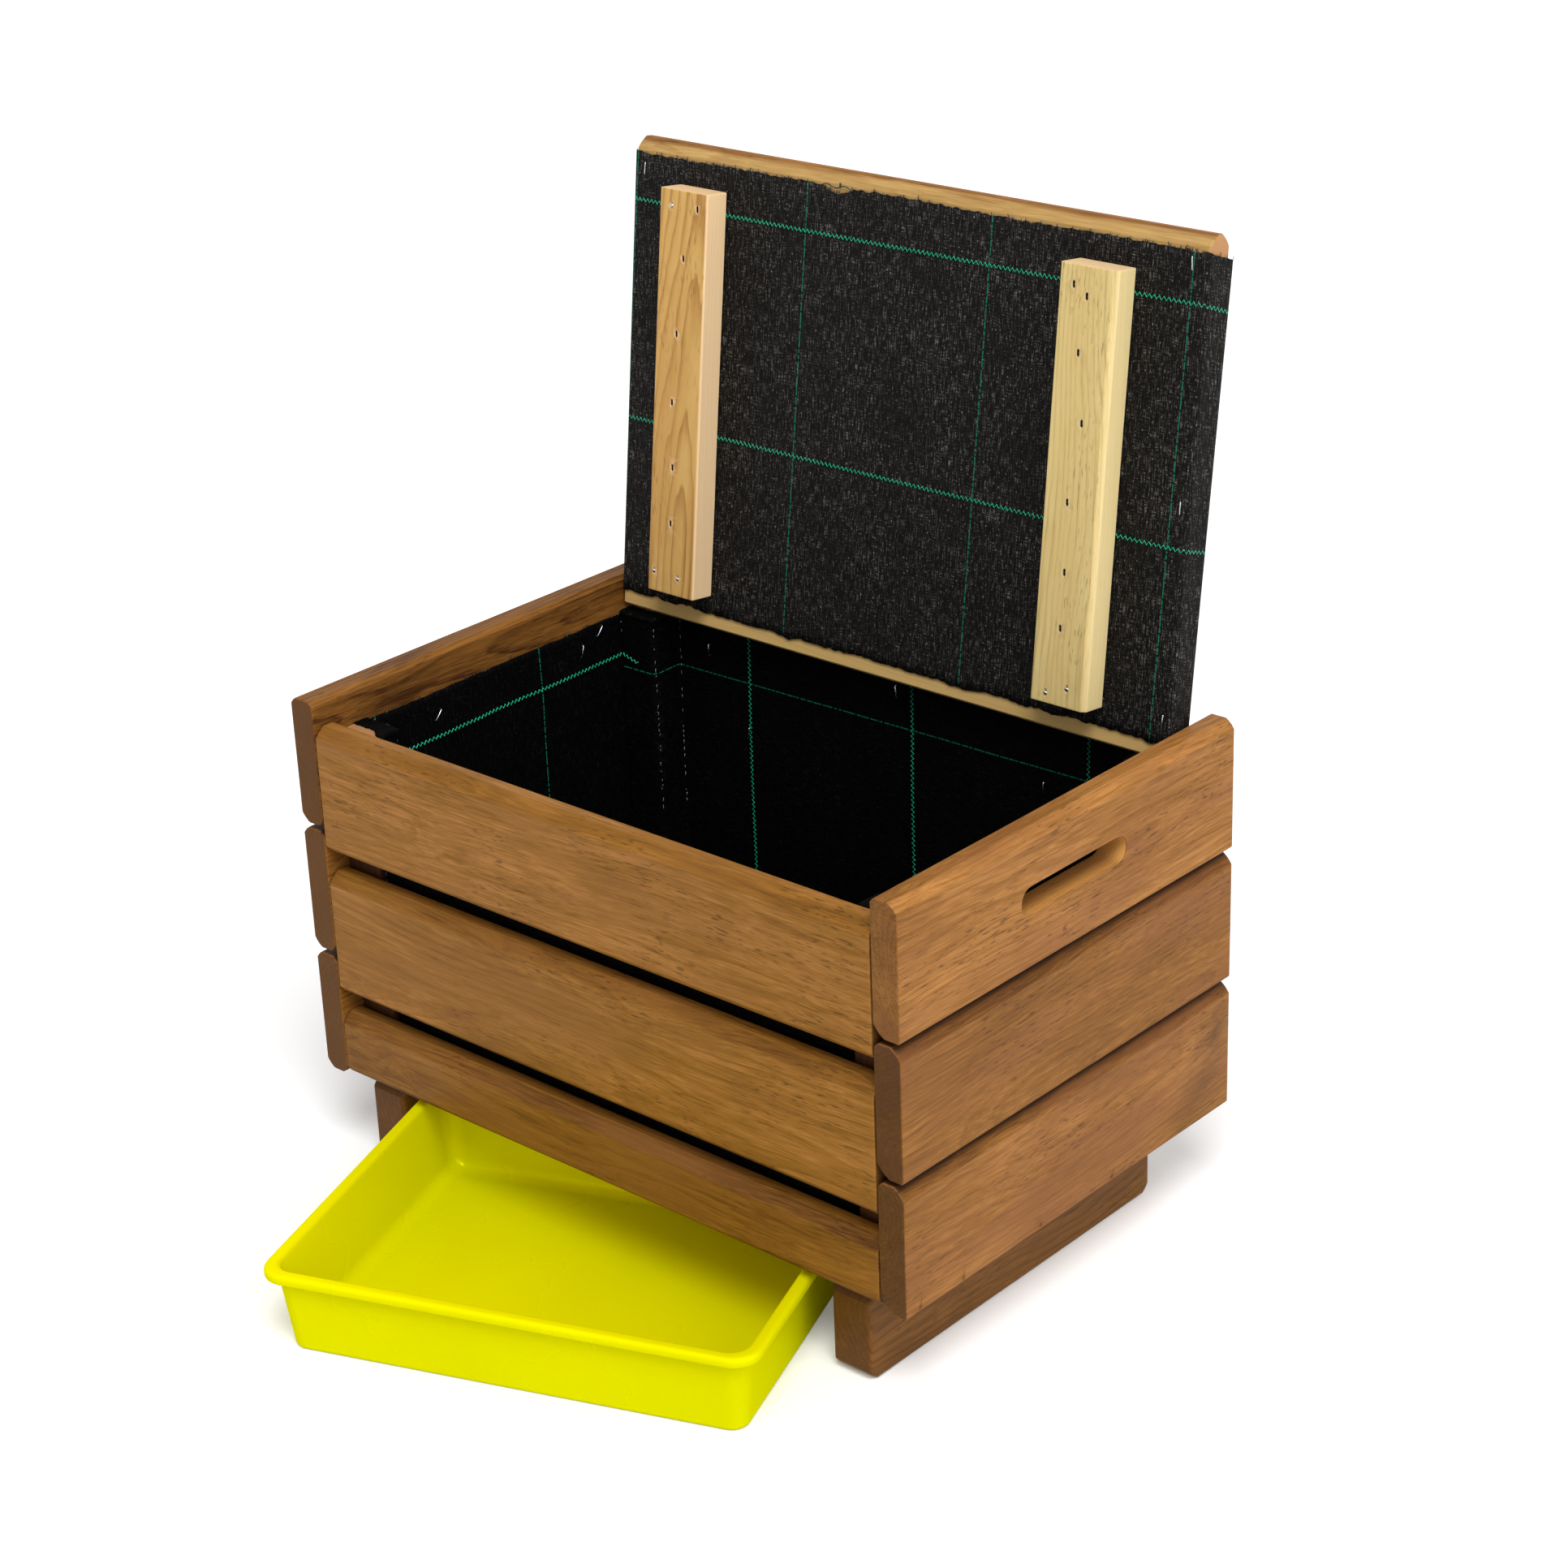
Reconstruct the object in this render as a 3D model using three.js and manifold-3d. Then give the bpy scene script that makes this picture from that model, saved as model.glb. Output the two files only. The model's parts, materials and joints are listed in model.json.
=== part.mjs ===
// A wooden wormery: a slatted box of stained boards on two skids, lined with black weed fabric,
// with a loose lid on two battens and a plastic tray that stands under the floor.
// Millimetres, +X right along the front, +Y to the back, +Z up.
// Inside the model Y is 0 at the front face of the box; the last lines centre the whole part.

import * as THREE from "three";
import { mergeVertices } from "three/addons/utils/BufferGeometryUtils.js";
import Module from "manifold-3d";

const wasm = await Module();
wasm.setup();

// The gap that pieces keep where they touch
const seatGap = 0.3;

// The box of boards
const boxWidth = 600;
const boxDepth = 388;
const groundClearance = 73;
const boardHeight = 104;
const boardRows = 3;
const boardEdgeRadius = 8;
const boardEndRadius = 1.5;
const sideBoardThickness = 24;
const sideBoardGap = 4;
const endBoardThickness = 22;
const endBoardGap = 18;
const endBoardClearance = 0.5;
const lidRecess = 20.5;
const backBoardDrop = 2.5;
const bottomBoardRise = 1;

// The hand hole in each top side board
const handHoleLength = 121;
const handHoleHeight = 21;

// The skids that the box stands on
const skidWidth = 36;
const skidSetback = 9;
const skidRearSetback = 44;
const skidInset = 41.5;
const skidCornerRadius = 8;

// The floor slats
const floorSlatCount = 4;
const floorSlatThickness = 12;
const drainGap = 6;

// The corner posts
const postWidth = 36;
const postDepth = 30;
const postDrop = 7.5;

// The fabric that lines the box and the lid
const fabricThickness = 1;
const linerDrop = 9.5;

// The lid, open and leaning back
const lidDepthClearance = 4;
const lidBoardCount = 4;
const lidBoardThickness = 24;
const lidBoardGap = 1;
const lidSideClearance = 0.5;
const lidRearSetback = 8.7;
const lidSeatClearance = 2;
const lidPivotInset = 22.6;
const lidPivotHeight = 15.3;
const lidOpenAngle = 97;
const lidFabricMargin = 10;
const lidFabricReturn = 28;

// The battens across the lid
const battenWidth = 50;
const battenThickness = 24;
const battenFootInset = 28;
const battenTopInset = 31;
const battenEdgeRadius = 2;
const leftBattenInset = 74.7;
const rightBattenInset = 83.7;

// The tray, pulled forward from between the skids and askew
const traySideClearance = 30;
const trayDepthClearance = 35;
const trayTopClearance = 3;
const trayWall = 2.4;
const trayTaper = 8.5;
const trayCornerRadius = 20;
const trayFloorRadius = 2.5;
const rimWidth = 10;
const rimDrop = 10;
const trayShift = 14;
const trayPull = 205.5;
const trayTurn = 20.5;

// The nails through the battens
const nailLength = 42;
const nailRadius = 1.2;
const nailHeadRadius = 2.4;
const nailHeadHeight = 0.9;
const nailSink = 0.2;
const drillClearance = 0.3;
const drillOverrun = 2;

// How finely curves are cut
const arcSteps = 3;
const roundSteps = 8;
const mergeReach = 0.0001;

// Heights and inner faces that follow
const sideTop = groundClearance + boardRows * boardHeight + (boardRows - 1) * sideBoardGap;
const frontTop = sideTop - lidRecess;
const backTop = frontTop - backBoardDrop;
const endBoardBottom = groundClearance + bottomBoardRise;
const innerX = boxWidth / 2 - sideBoardThickness;
const innerFront = endBoardThickness;
const innerBack = boxDepth - endBoardThickness;
const floorBottom = groundClearance + seatGap;
const floorTop = floorBottom + floorSlatThickness;
const postTop = frontTop - postDrop;
const linerTop = frontTop - linerDrop;
const floorSlatDepth =
  (innerBack - innerFront - 2 * seatGap - (floorSlatCount - 1) * drainGap) / floorSlatCount;
const skidLength = boxDepth - skidSetback - skidRearSetback;
const lidDepth = boxDepth - lidDepthClearance;
const lidBoardDepth = (lidDepth - (lidBoardCount - 1) * lidBoardGap) / lidBoardCount;
const lidHalfWidth = innerX - lidSideClearance - fabricThickness - seatGap;
const battenLength = lidDepth - battenFootInset - battenTopInset;
const battenFace = -(2 * seatGap + fabricThickness + battenThickness);
const trayLength = boxWidth - 2 * (skidInset + skidWidth + traySideClearance);
const trayDepth = skidLength - trayDepthClearance;
const trayHeight = groundClearance - trayTopClearance;

const left = -1;
const right = 1;
const sideNames = new Map([[left, "left"], [right, "right"]]);
const rowNames = ["bottom", "middle", "top"];
const vector = (x, y, z) => new THREE.Vector3(x, y, z);

// Finishes
function finish(name, color, roughness, metalness = 0) {
  const material = new THREE.MeshStandardMaterial({ color, roughness, metalness });
  material.name = name;
  return material;
}
const stainedPine = () => finish("stained_pine", 0xb3783f, 0.62);
const palePine = () => finish("pale_pine", 0xd6b06c, 0.7);
const weedFabric = () => finish("weed_fabric", 0x15161a, 0.85);
const limePlastic = () => finish("lime_plastic", 0xd9d400, 0.3);
const zincSteel = () => finish("zinc_steel", 0xb9bcc0, 0.35, 1);

// Closed meshes to solids and back
function toSolid(geometry) {
  const bare = geometry.clone();
  bare.deleteAttribute("normal");
  bare.deleteAttribute("uv");
  const merged = mergeVertices(bare, mergeReach);
  return new wasm.Manifold(new wasm.Mesh({
    numProp: 3,
    vertProperties: new Float32Array(merged.getAttribute("position").array),
    triVerts: new Uint32Array(merged.getIndex().array),
  }));
}

function toGeometry(solid) {
  const { vertProperties, triVerts } = solid.getMesh();
  const indexed = new THREE.BufferGeometry();
  indexed.setAttribute("position", new THREE.BufferAttribute(new Float32Array(vertProperties), 3));
  indexed.setIndex(Array.from(triVerts));
  const flat = indexed.toNonIndexed();
  flat.computeVertexNormals();
  return flat;
}

// Cuts each drill that reaches a placed mesh out of it
function drill(mesh, drills) {
  mesh.updateMatrix();
  const back = mesh.matrix.clone().invert();
  mesh.geometry.computeBoundingBox();
  let solid = toSolid(mesh.geometry);
  for (const tool of drills) {
    const placed = tool.clone().applyMatrix4(back);
    placed.computeBoundingBox();
    if (placed.boundingBox.intersectsBox(mesh.geometry.boundingBox)) {
      solid = solid.subtract(toSolid(placed));
    }
  }
  mesh.geometry = toGeometry(solid);
  return mesh;
}

function named(name, geometry, material, x = 0, y = 0, z = 0) {
  const mesh = new THREE.Mesh(geometry, material);
  mesh.name = name;
  mesh.position.set(x, y, z);
  return mesh;
}

// The corner points of a rounded rectangle, anticlockwise, without doubles
function roundedPoints(width, height, radius, steps = arcSteps) {
  const points = [];
  const corners = [[1, 1], [-1, 1], [-1, -1], [1, -1]];
  corners.forEach(([signX, signY], quarter) => {
    for (let step = 0; step <= steps; step += 1) {
      const angle = (quarter + step / steps) * Math.PI / 2;
      const x = signX * (width / 2 - radius) + radius * Math.cos(angle);
      const y = signY * (height / 2 - radius) + radius * Math.sin(angle);
      points.push(new THREE.Vector2(x, y));
    }
  });
  return points.filter((point, i) => point.distanceTo(points.at(i - 1)) > mergeReach);
}

// A board along Z with rounded edges and eased ends, centred on its own middle
function boardAlongZ(length, width, thickness, edgeRadius, endRadius) {
  const shape = new THREE.Shape(roundedPoints(width, thickness, edgeRadius));
  const geometry = new THREE.ExtrudeGeometry(shape, {
    depth: length - 2 * endRadius,
    bevelEnabled: endRadius > 0,
    bevelThickness: endRadius,
    bevelSize: endRadius,
    bevelOffset: -endRadius,
    bevelSegments: 2,
  });
  return geometry.translate(0, 0, endRadius - length / 2);
}

// A board along X, standing on its edge or lying flat, by its height and thickness
function boardAlongX(length, thickness, height, edgeRadius = boardEdgeRadius, endRadius = boardEndRadius) {
  return boardAlongZ(length, height, thickness, edgeRadius, endRadius).rotateY(Math.PI / 2);
}

function boardAlongY(length, thickness, height, edgeRadius = boardEdgeRadius, endRadius = boardEndRadius) {
  return boardAlongZ(length, thickness, height, edgeRadius, endRadius).rotateX(Math.PI / 2);
}

// A plain block between two corners
function block(x0, x1, y0, y1, z0, z1) {
  const geometry = new THREE.BoxGeometry(x1 - x0, y1 - y0, z1 - z0);
  return geometry.translate((x0 + x1) / 2, (y0 + y1) / 2, (z0 + z1) / 2);
}

// A nail along +Z from its head face at Z = 0, or with a clearance the drill that makes room for it
function nail(clearance = 0) {
  const shank = nailRadius + clearance;
  const head = nailHeadRadius + clearance;
  const underHead = nailHeadHeight + clearance;
  const tip = nailLength + clearance;
  const point = tip - 2 * nailRadius;
  const face = clearance > 0 ? -drillOverrun : 0;
  const profile = [
    [0, face], [head, face], [head, underHead], [shank, underHead], [shank, point], [0, tip],
  ];
  const points = profile.map(([x, y]) => new THREE.Vector2(x, y));
  return new THREE.LatheGeometry(points, roundSteps).rotateX(Math.PI / 2);
}

// Middle heights of the boards
const sideRowZ = rowNames.map((_, row) =>
  groundClearance + boardHeight / 2 + row * (boardHeight + sideBoardGap));

function endRows(top) {
  const pitch = boardHeight + endBoardGap;
  const bottomTop = top - (boardRows - 1) * pitch;
  return rowNames.map((name, row) => {
    const high = row === 0 ? bottomTop : top - (boardRows - 1 - row) * pitch;
    const low = row === 0 ? endBoardBottom : high - boardHeight;
    return { name, height: high - low, z: (high + low) / 2 };
  });
}

const ends = [
  { name: "front", sign: -1, outerY: 0, innerY: innerFront, rows: endRows(frontTop) },
  { name: "back", sign: 1, outerY: boxDepth, innerY: innerBack, rows: endRows(backTop) },
];

// Posts: where each one stands
const posts = ends.flatMap((end) => [left, right].map((side) => ({
  side,
  end,
  name: `${end.name}_${sideNames.get(side)}`,
  x: side * (innerX - seatGap - postWidth / 2),
  y: end.innerY - end.sign * (seatGap + postDepth / 2),
})));

const slatY = Array.from({ length: floorSlatCount }, (_, i) =>
  innerFront + seatGap + floorSlatDepth / 2 + i * (floorSlatDepth + drainGap));
const slatZ = floorBottom + floorSlatThickness / 2;
const skidX = boxWidth / 2 - skidInset - skidWidth / 2;

// The boards of one side, the top one with its hand hole
function sideBoards(side) {
  const x = side * (boxWidth - sideBoardThickness) / 2;
  return rowNames.map((row, i) => {
    const name = `side_board_${sideNames.get(side)}_${row}`;
    const geometry = boardAlongY(boxDepth, sideBoardThickness, boardHeight);
    const board = named(name, geometry, stainedPine(), x, boxDepth / 2, sideRowZ[i]);
    return row === "top" ? drill(board, [handHole(side, sideRowZ[i])]) : board;
  });
}

function handHole(side, z) {
  const shape = new THREE.Shape(roundedPoints(handHoleLength, handHoleHeight, handHoleHeight / 2));
  const depth = sideBoardThickness + 2 * drillOverrun;
  const hole = new THREE.ExtrudeGeometry(shape, { depth, bevelEnabled: false });
  hole.translate(0, 0, -depth / 2).rotateX(Math.PI / 2).rotateZ(Math.PI / 2);
  return hole.translate(side * (boxWidth - sideBoardThickness) / 2, boxDepth / 2, z);
}

// The boards of the front or the back, the bottom one ripped to a lower height
function endBoards(end) {
  const length = 2 * (innerX - endBoardClearance);
  const y = end.outerY - end.sign * endBoardThickness / 2;
  return end.rows.map(({ name, height, z }) => {
    const geometry = boardAlongX(length, endBoardThickness, height);
    return named(`${end.name}_board_${name}`, geometry, stainedPine(), 0, y, z);
  });
}

function cornerPosts() {
  const low = floorTop + seatGap;
  return posts.map((post) => {
    const geometry = new THREE.BoxGeometry(postWidth, postDepth, postTop - low);
    return named(`corner_post_${post.name}`, geometry, palePine(), post.x, post.y, (postTop + low) / 2);
  });
}

function skids() {
  return [left, right].map((side) => {
    const shape = new THREE.Shape(roundedPoints(skidLength, groundClearance, skidCornerRadius));
    const geometry = new THREE.ExtrudeGeometry(shape, { depth: skidWidth, bevelEnabled: false });
    geometry.translate(0, 0, -skidWidth / 2).rotateX(Math.PI / 2).rotateZ(Math.PI / 2);
    const y = skidSetback + skidLength / 2;
    const name = `skid_${sideNames.get(side)}`;
    return named(name, geometry, stainedPine(), side * skidX, y, groundClearance / 2);
  });
}

function floorSlats() {
  return slatY.map((y, i) => {
    const geometry = new THREE.BoxGeometry(2 * (innerX - seatGap), floorSlatDepth, floorSlatThickness);
    return named(`floor_slat_${i + 1}`, geometry, palePine(), 0, y, slatZ);
  });
}

// The fabric liner: a notched floor, a panel on each side wall, and at the front and the back
// one strip that runs round both posts of that end
const linerFaceX = innerX - seatGap - fabricThickness;
const wrapX = innerX - 2 * seatGap - postWidth - fabricThickness;
const wrapDepth = 2 * seatGap + postDepth + fabricThickness;
const linerFloorZ = floorTop + seatGap;
const linerWallZ = linerFloorZ + fabricThickness + seatGap;

function prism(outline, low, high) {
  const shape = new THREE.Shape(outline.map(([x, y]) => new THREE.Vector2(x, y)));
  const geometry = new THREE.ExtrudeGeometry(shape, { depth: high - low, bevelEnabled: false });
  return geometry.translate(0, 0, low);
}

function linerFloor() {
  const x = innerX - seatGap;
  const notchX = x - postWidth - seatGap;
  const front = innerFront + seatGap;
  const back = innerBack - seatGap;
  const notchFront = front + postDepth + seatGap;
  const notchBack = back - postDepth - seatGap;
  const outline = [
    [-notchX, front], [notchX, front], [notchX, notchFront], [x, notchFront],
    [x, notchBack], [notchX, notchBack], [notchX, back], [-notchX, back],
    [-notchX, notchBack], [-x, notchBack], [-x, notchFront], [-notchX, notchFront],
  ];
  const geometry = prism(outline, linerFloorZ, linerFloorZ + fabricThickness);
  return named("liner_floor", geometry, weedFabric());
}

function linerSides() {
  const front = innerFront + wrapDepth + seatGap;
  const back = innerBack - wrapDepth - seatGap;
  return [left, right].map((side) => {
    const faces = [side * linerFaceX, side * (innerX - seatGap)].sort((a, b) => a - b);
    const geometry = block(...faces, front, back, linerWallZ, linerTop);
    return named(`liner_${sideNames.get(side)}`, geometry, weedFabric());
  });
}

function linerEnds() {
  return ends.map((end) => {
    const inward = (distance) => end.innerY - end.sign * distance;
    const wallX = innerX - seatGap;
    const half = [
      [wallX, wrapDepth - fabricThickness], [wrapX + fabricThickness, wrapDepth - fabricThickness],
      [wrapX + fabricThickness, seatGap],
    ];
    const inside = [[wrapX, seatGap + fabricThickness], [wrapX, wrapDepth], [wallX, wrapDepth]];
    const mirrored = (points) => points.map(([x, y]) => [-x, y]).reverse();
    const outline = [...half, ...mirrored(half), ...mirrored(inside), ...inside];
    const placed = outline.map(([x, distance]) => [x, inward(distance)]);
    return named(`liner_${end.name}`, prism(placed, linerWallZ, linerTop), weedFabric());
  });
}

// The lid, made as it lies when shut, about the line that it turns on
const nailShares = [
  [[-0.36, 0.47], [0.16, 0.45], [-0.04, 0.91]],
  [[-0.04, 0.38], [-0.1, 0.93]],
  [[-0.05, 0.5]],
  [[0.04, 0.12], [-0.24, 0.54], [0.3, 0.54]],
];
const lidY = (fromFoot) => lidPivotInset - fromFoot;
const lidZ = (overUnderside) => overUnderside - lidPivotHeight;
const lidBoardStart = (i) => i * (lidBoardDepth + lidBoardGap);

const battens = [
  { name: "left", x: leftBattenInset - lidHalfWidth },
  { name: "right", x: lidHalfWidth - rightBattenInset },
].map((batten) => {
  const nails = nailShares.flatMap((shares, i) => shares.map(([across, along]) => vector(
    batten.x + across * battenWidth,
    lidY(lidBoardStart(i) + along * lidBoardDepth),
    lidZ(battenFace + nailSink),
  )));
  return { ...batten, nails };
});
const nailPlaces = battens.flatMap(({ nails }) => nails);
const nailDrills = nailPlaces.map((place) => nail(drillClearance).translate(...place));

function lidBoards() {
  return Array.from({ length: lidBoardCount }, (_, i) => {
    const geometry = boardAlongX(2 * lidHalfWidth, lidBoardDepth, lidBoardThickness);
    const y = lidY(lidBoardStart(i) + lidBoardDepth / 2);
    const z = lidZ(lidBoardThickness / 2);
    return drill(named(`lid_board_${i + 1}`, geometry, stainedPine(), 0, y, z), nailDrills);
  });
}

function lidLiner() {
  const under = -seatGap;
  const over = lidBoardThickness + seatGap;
  const edge = lidHalfWidth + seatGap;
  const fold = lidHalfWidth - lidFabricReturn;
  const outer = edge + fabricThickness;
  const outline = [
    [-fold, over], [-fold, over + fabricThickness], [-outer, over + fabricThickness],
    [-outer, under - fabricThickness], [outer, under - fabricThickness],
    [outer, over + fabricThickness], [fold, over + fabricThickness], [fold, over],
    [edge, over], [edge, under], [-edge, under], [-edge, over],
  ];
  const geometry = prism(outline, 0, lidDepth - 2 * lidFabricMargin);
  geometry.rotateX(Math.PI / 2);
  const liner = named("lid_liner", geometry, weedFabric(), 0, lidY(lidFabricMargin), lidZ(0));
  return drill(liner, nailDrills);
}

function lidBattens() {
  return battens.map(({ name, x }) => {
    const geometry = boardAlongY(battenLength, battenWidth, battenThickness, battenEdgeRadius, 0);
    const y = lidY(battenFootInset + battenLength / 2);
    const z = lidZ(battenFace + battenThickness / 2);
    return drill(named(`lid_batten_${name}`, geometry, palePine(), x, y, z), nailDrills);
  });
}

function lidNails() {
  return battens.flatMap(({ name, nails }) => nails.map((place, i) =>
    named(`lid_nail_${name}_${i + 1}`, nail(), zincSteel(), ...place)));
}

function lid() {
  const group = new THREE.Group();
  group.add(...lidBoards(), lidLiner(), ...lidBattens(), ...lidNails());
  const pivotY = boxDepth - lidRearSetback - lidPivotInset;
  const pivotZ = frontTop + lidSeatClearance + lidPivotHeight;
  group.position.set(0, pivotY, pivotZ);
  group.rotation.x = -THREE.MathUtils.degToRad(lidOpenAngle);
  return group;
}

// The tray: one moulded shell, swept round a rounded rectangle
function trayShell() {
  const floorEdge = rimWidth + trayTaper;
  const rimEase = trayWall / 2;
  const lipInner = trayWall;
  const profile = [
    [floorEdge + trayFloorRadius, 0],
    [floorEdge, trayFloorRadius],
    [rimWidth, trayHeight - trayWall],
    [lipInner, trayHeight - trayWall],
    [lipInner, trayHeight - rimDrop],
    [0, trayHeight - rimDrop],
    [0, trayHeight - rimEase],
    [rimEase, trayHeight],
    [rimWidth + trayWall - rimEase, trayHeight],
    [rimWidth + trayWall, trayHeight - rimEase],
    [floorEdge + trayWall, trayWall + trayFloorRadius],
    [floorEdge + trayWall + trayFloorRadius, trayWall],
  ];
  const rings = profile.map(([inset, z]) => {
    const radius = trayCornerRadius - inset / 2;
    const ring = roundedPoints(trayLength - 2 * inset, trayDepth - 2 * inset, radius);
    return ring.map((point) => [point.x, point.y, z]);
  });
  const count = rings[0].length;
  const positions = rings.flat(2);
  const outerCentre = rings.length * count;
  const innerCentre = outerCentre + 1;
  positions.push(0, 0, profile[0][1], 0, 0, profile.at(-1)[1]);
  const indices = [];
  for (let i = 0; i < count; i += 1) {
    const next = (i + 1) % count;
    for (let ring = 0; ring < rings.length - 1; ring += 1) {
      const low = ring * count;
      const high = low + count;
      indices.push(low + i, low + next, high + next, low + i, high + next, high + i);
    }
    const last = (rings.length - 1) * count;
    indices.push(outerCentre, next, i, innerCentre, last + i, last + next);
  }
  const geometry = new THREE.BufferGeometry();
  geometry.setAttribute("position", new THREE.Float32BufferAttribute(positions, 3));
  geometry.setIndex(indices);
  return geometry;
}

function tray() {
  const group = new THREE.Group();
  group.add(named("tray", trayShell(), limePlastic()));
  group.position.set(trayShift, skidSetback + skidLength / 2 - trayPull, 0);
  group.rotation.z = THREE.MathUtils.degToRad(trayTurn);
  return group;
}

const box = new THREE.Group();
box.add(
  ...sideBoards(left), ...sideBoards(right), ...ends.flatMap(endBoards),
  ...cornerPosts(), ...skids(), ...floorSlats(), linerFloor(), ...linerSides(), ...linerEnds(),
);

// The whole part, centred over its own footprint
const wormery = new THREE.Group();
wormery.add(box, lid(), tray());
wormery.updateMatrixWorld(true);
const middle = new THREE.Box3().setFromObject(wormery, true).getCenter(new THREE.Vector3());
wormery.position.set(-middle.x, -middle.y, 0);

export default wormery;
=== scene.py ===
# A wooden wormery: a slatted box on two skids, lined with weed fabric, with its loose lid leaning
# open behind and its lime tray drawn out in front. Metres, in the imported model's own frame.

import json
import math
import random

import bmesh
import bpy
from mathutils import Matrix, Vector, noise


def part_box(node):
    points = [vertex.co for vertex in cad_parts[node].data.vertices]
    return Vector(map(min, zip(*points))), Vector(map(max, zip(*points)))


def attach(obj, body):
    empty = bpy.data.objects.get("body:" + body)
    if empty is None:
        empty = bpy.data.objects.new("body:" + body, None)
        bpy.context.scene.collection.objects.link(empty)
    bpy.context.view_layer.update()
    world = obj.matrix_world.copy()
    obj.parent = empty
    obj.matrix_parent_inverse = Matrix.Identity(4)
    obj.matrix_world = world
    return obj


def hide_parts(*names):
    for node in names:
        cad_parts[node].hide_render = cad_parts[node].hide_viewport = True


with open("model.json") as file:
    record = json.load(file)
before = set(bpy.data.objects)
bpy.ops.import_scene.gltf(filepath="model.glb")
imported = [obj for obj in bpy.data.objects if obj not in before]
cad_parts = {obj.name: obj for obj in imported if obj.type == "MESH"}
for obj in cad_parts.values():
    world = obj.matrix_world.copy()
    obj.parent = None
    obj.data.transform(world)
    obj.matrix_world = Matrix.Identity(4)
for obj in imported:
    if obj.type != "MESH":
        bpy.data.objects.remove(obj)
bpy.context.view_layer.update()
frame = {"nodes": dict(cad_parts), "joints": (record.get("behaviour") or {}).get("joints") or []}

# The camera. It looks down on the right front corner, from about a metre and a half in front of it,
# held a little askew.
lens_length = 77.195
eye = Vector((1.5735, -1.5930, 1.36074))
camera_azimuth = math.radians(42.2976)
camera_elevation = math.radians(24.0117)
camera_roll = math.radians(-2.2865)

camera_lens = bpy.data.cameras.new("camera")
camera_lens.lens = lens_length
camera_lens.sensor_width = 36.0
camera = bpy.data.objects.new("camera", camera_lens)
camera.matrix_world = (
    Matrix.Translation(eye)
    @ Matrix.Rotation(camera_azimuth, 4, "Z")
    @ Matrix.Rotation(math.pi / 2 - camera_elevation, 4, "X")
    @ Matrix.Rotation(camera_roll, 4, "Z")
)
bpy.context.scene.collection.objects.link(camera)
bpy.context.scene.camera = camera
bpy.context.scene.view_settings.view_transform = "Standard"


# The studio. A white floor that runs out to a white room, under one broad lamp from the front, a
# second from the right and the even light of the room itself.
floor_reach = 9.0
floor_drop = 0.0002
floor_white = (0.9, 0.9, 0.9, 1.0)
floor_glow = 0.16
room_light = 0.46
white = (1.0, 1.0, 1.0, 1.0)


def linear(red, green, blue):
    """A colour as the eye reads it, from 0 to 255, as the shader needs it."""
    def channel(value):
        share = value / 255
        return share / 12.92 if share <= 0.04045 else ((share + 0.055) / 1.055) ** 2.4
    return (channel(red), channel(green), channel(blue), 1.0)


def feed(node, inputs):
    """Sets a node's inputs: each to a number, a colour or another node's output."""
    for socket, value in inputs.items():
        if isinstance(value, bpy.types.NodeSocket):
            node.id_data.links.new(value, node.inputs[socket])
        else:
            node.inputs[socket].default_value = value


def add(tree, kind, inputs=None, **settings):
    """A shader node with its settings and inputs."""
    node = tree.nodes.new(kind)
    for setting, value in settings.items():
        setattr(node, setting, value)
    feed(node, inputs or {})
    return node


def maths(tree, operation, first, second=0.0, third=0.0):
    return add(tree, "ShaderNodeMath", {0: first, 1: second, 2: third}, operation=operation).outputs[0]


def new_material(name):
    material = bpy.data.materials.new(name)
    material.use_nodes = True
    return material, material.node_tree, material.node_tree.nodes["Principled BSDF"]


def seen_directly(tree):
    """1 for rays that show the surface itself or its image in metal or gloss."""
    path = add(tree, "ShaderNodeLightPath")
    both = maths(tree, "MAXIMUM", path.outputs["Is Camera Ray"], path.outputs["Is Glossy Ray"])
    return maths(tree, "MAXIMUM", both, path.outputs["Is Transmission Ray"])


def studio_floor():
    sheet = bmesh.new()
    corners = [(-1, -1), (1, -1), (1, 1), (-1, 1)]
    sheet.faces.new([sheet.verts.new((x * floor_reach, y * floor_reach, -floor_drop)) for x, y in corners])
    mesh = bpy.data.meshes.new("studio_floor")
    sheet.to_mesh(mesh)
    floor = bpy.data.objects.new("studio_floor", mesh)
    bpy.context.scene.collection.objects.link(floor)
    material, tree, shader = new_material("studio_white")
    feed(shader, {
        "Base Color": floor_white, "Roughness": 0.9, "Specular IOR Level": 0.1, "Emission Color": white,
        "Emission Strength": maths(tree, "MULTIPLY", seen_directly(tree), floor_glow),
    })
    mesh.materials.append(material)


def studio_room():
    world = bpy.data.worlds.new("studio_room")
    world.use_nodes = True
    tree = world.node_tree
    tree.nodes.clear()
    lit = add(tree, "ShaderNodeBackground", {"Color": white, "Strength": room_light})
    shown = add(tree, "ShaderNodeBackground", {"Color": white, "Strength": 1.0})
    either = add(tree, "ShaderNodeMixShader", {
        0: seen_directly(tree), 1: lit.outputs[0], 2: shown.outputs[0]})
    add(tree, "ShaderNodeOutputWorld", {"Surface": either.outputs[0]})
    bpy.context.scene.world = world


def studio_lamp(name, toward, strength, spread):
    """A lamp far off in the direction toward, as broad as spread degrees."""
    lamp = bpy.data.lights.new(name, "SUN")
    lamp.energy = strength
    lamp.angle = math.radians(spread)
    placed = bpy.data.objects.new(name, lamp)
    placed.rotation_euler = Vector(toward).to_track_quat("Z", "Y").to_euler()
    bpy.context.scene.collection.objects.link(placed)


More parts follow.
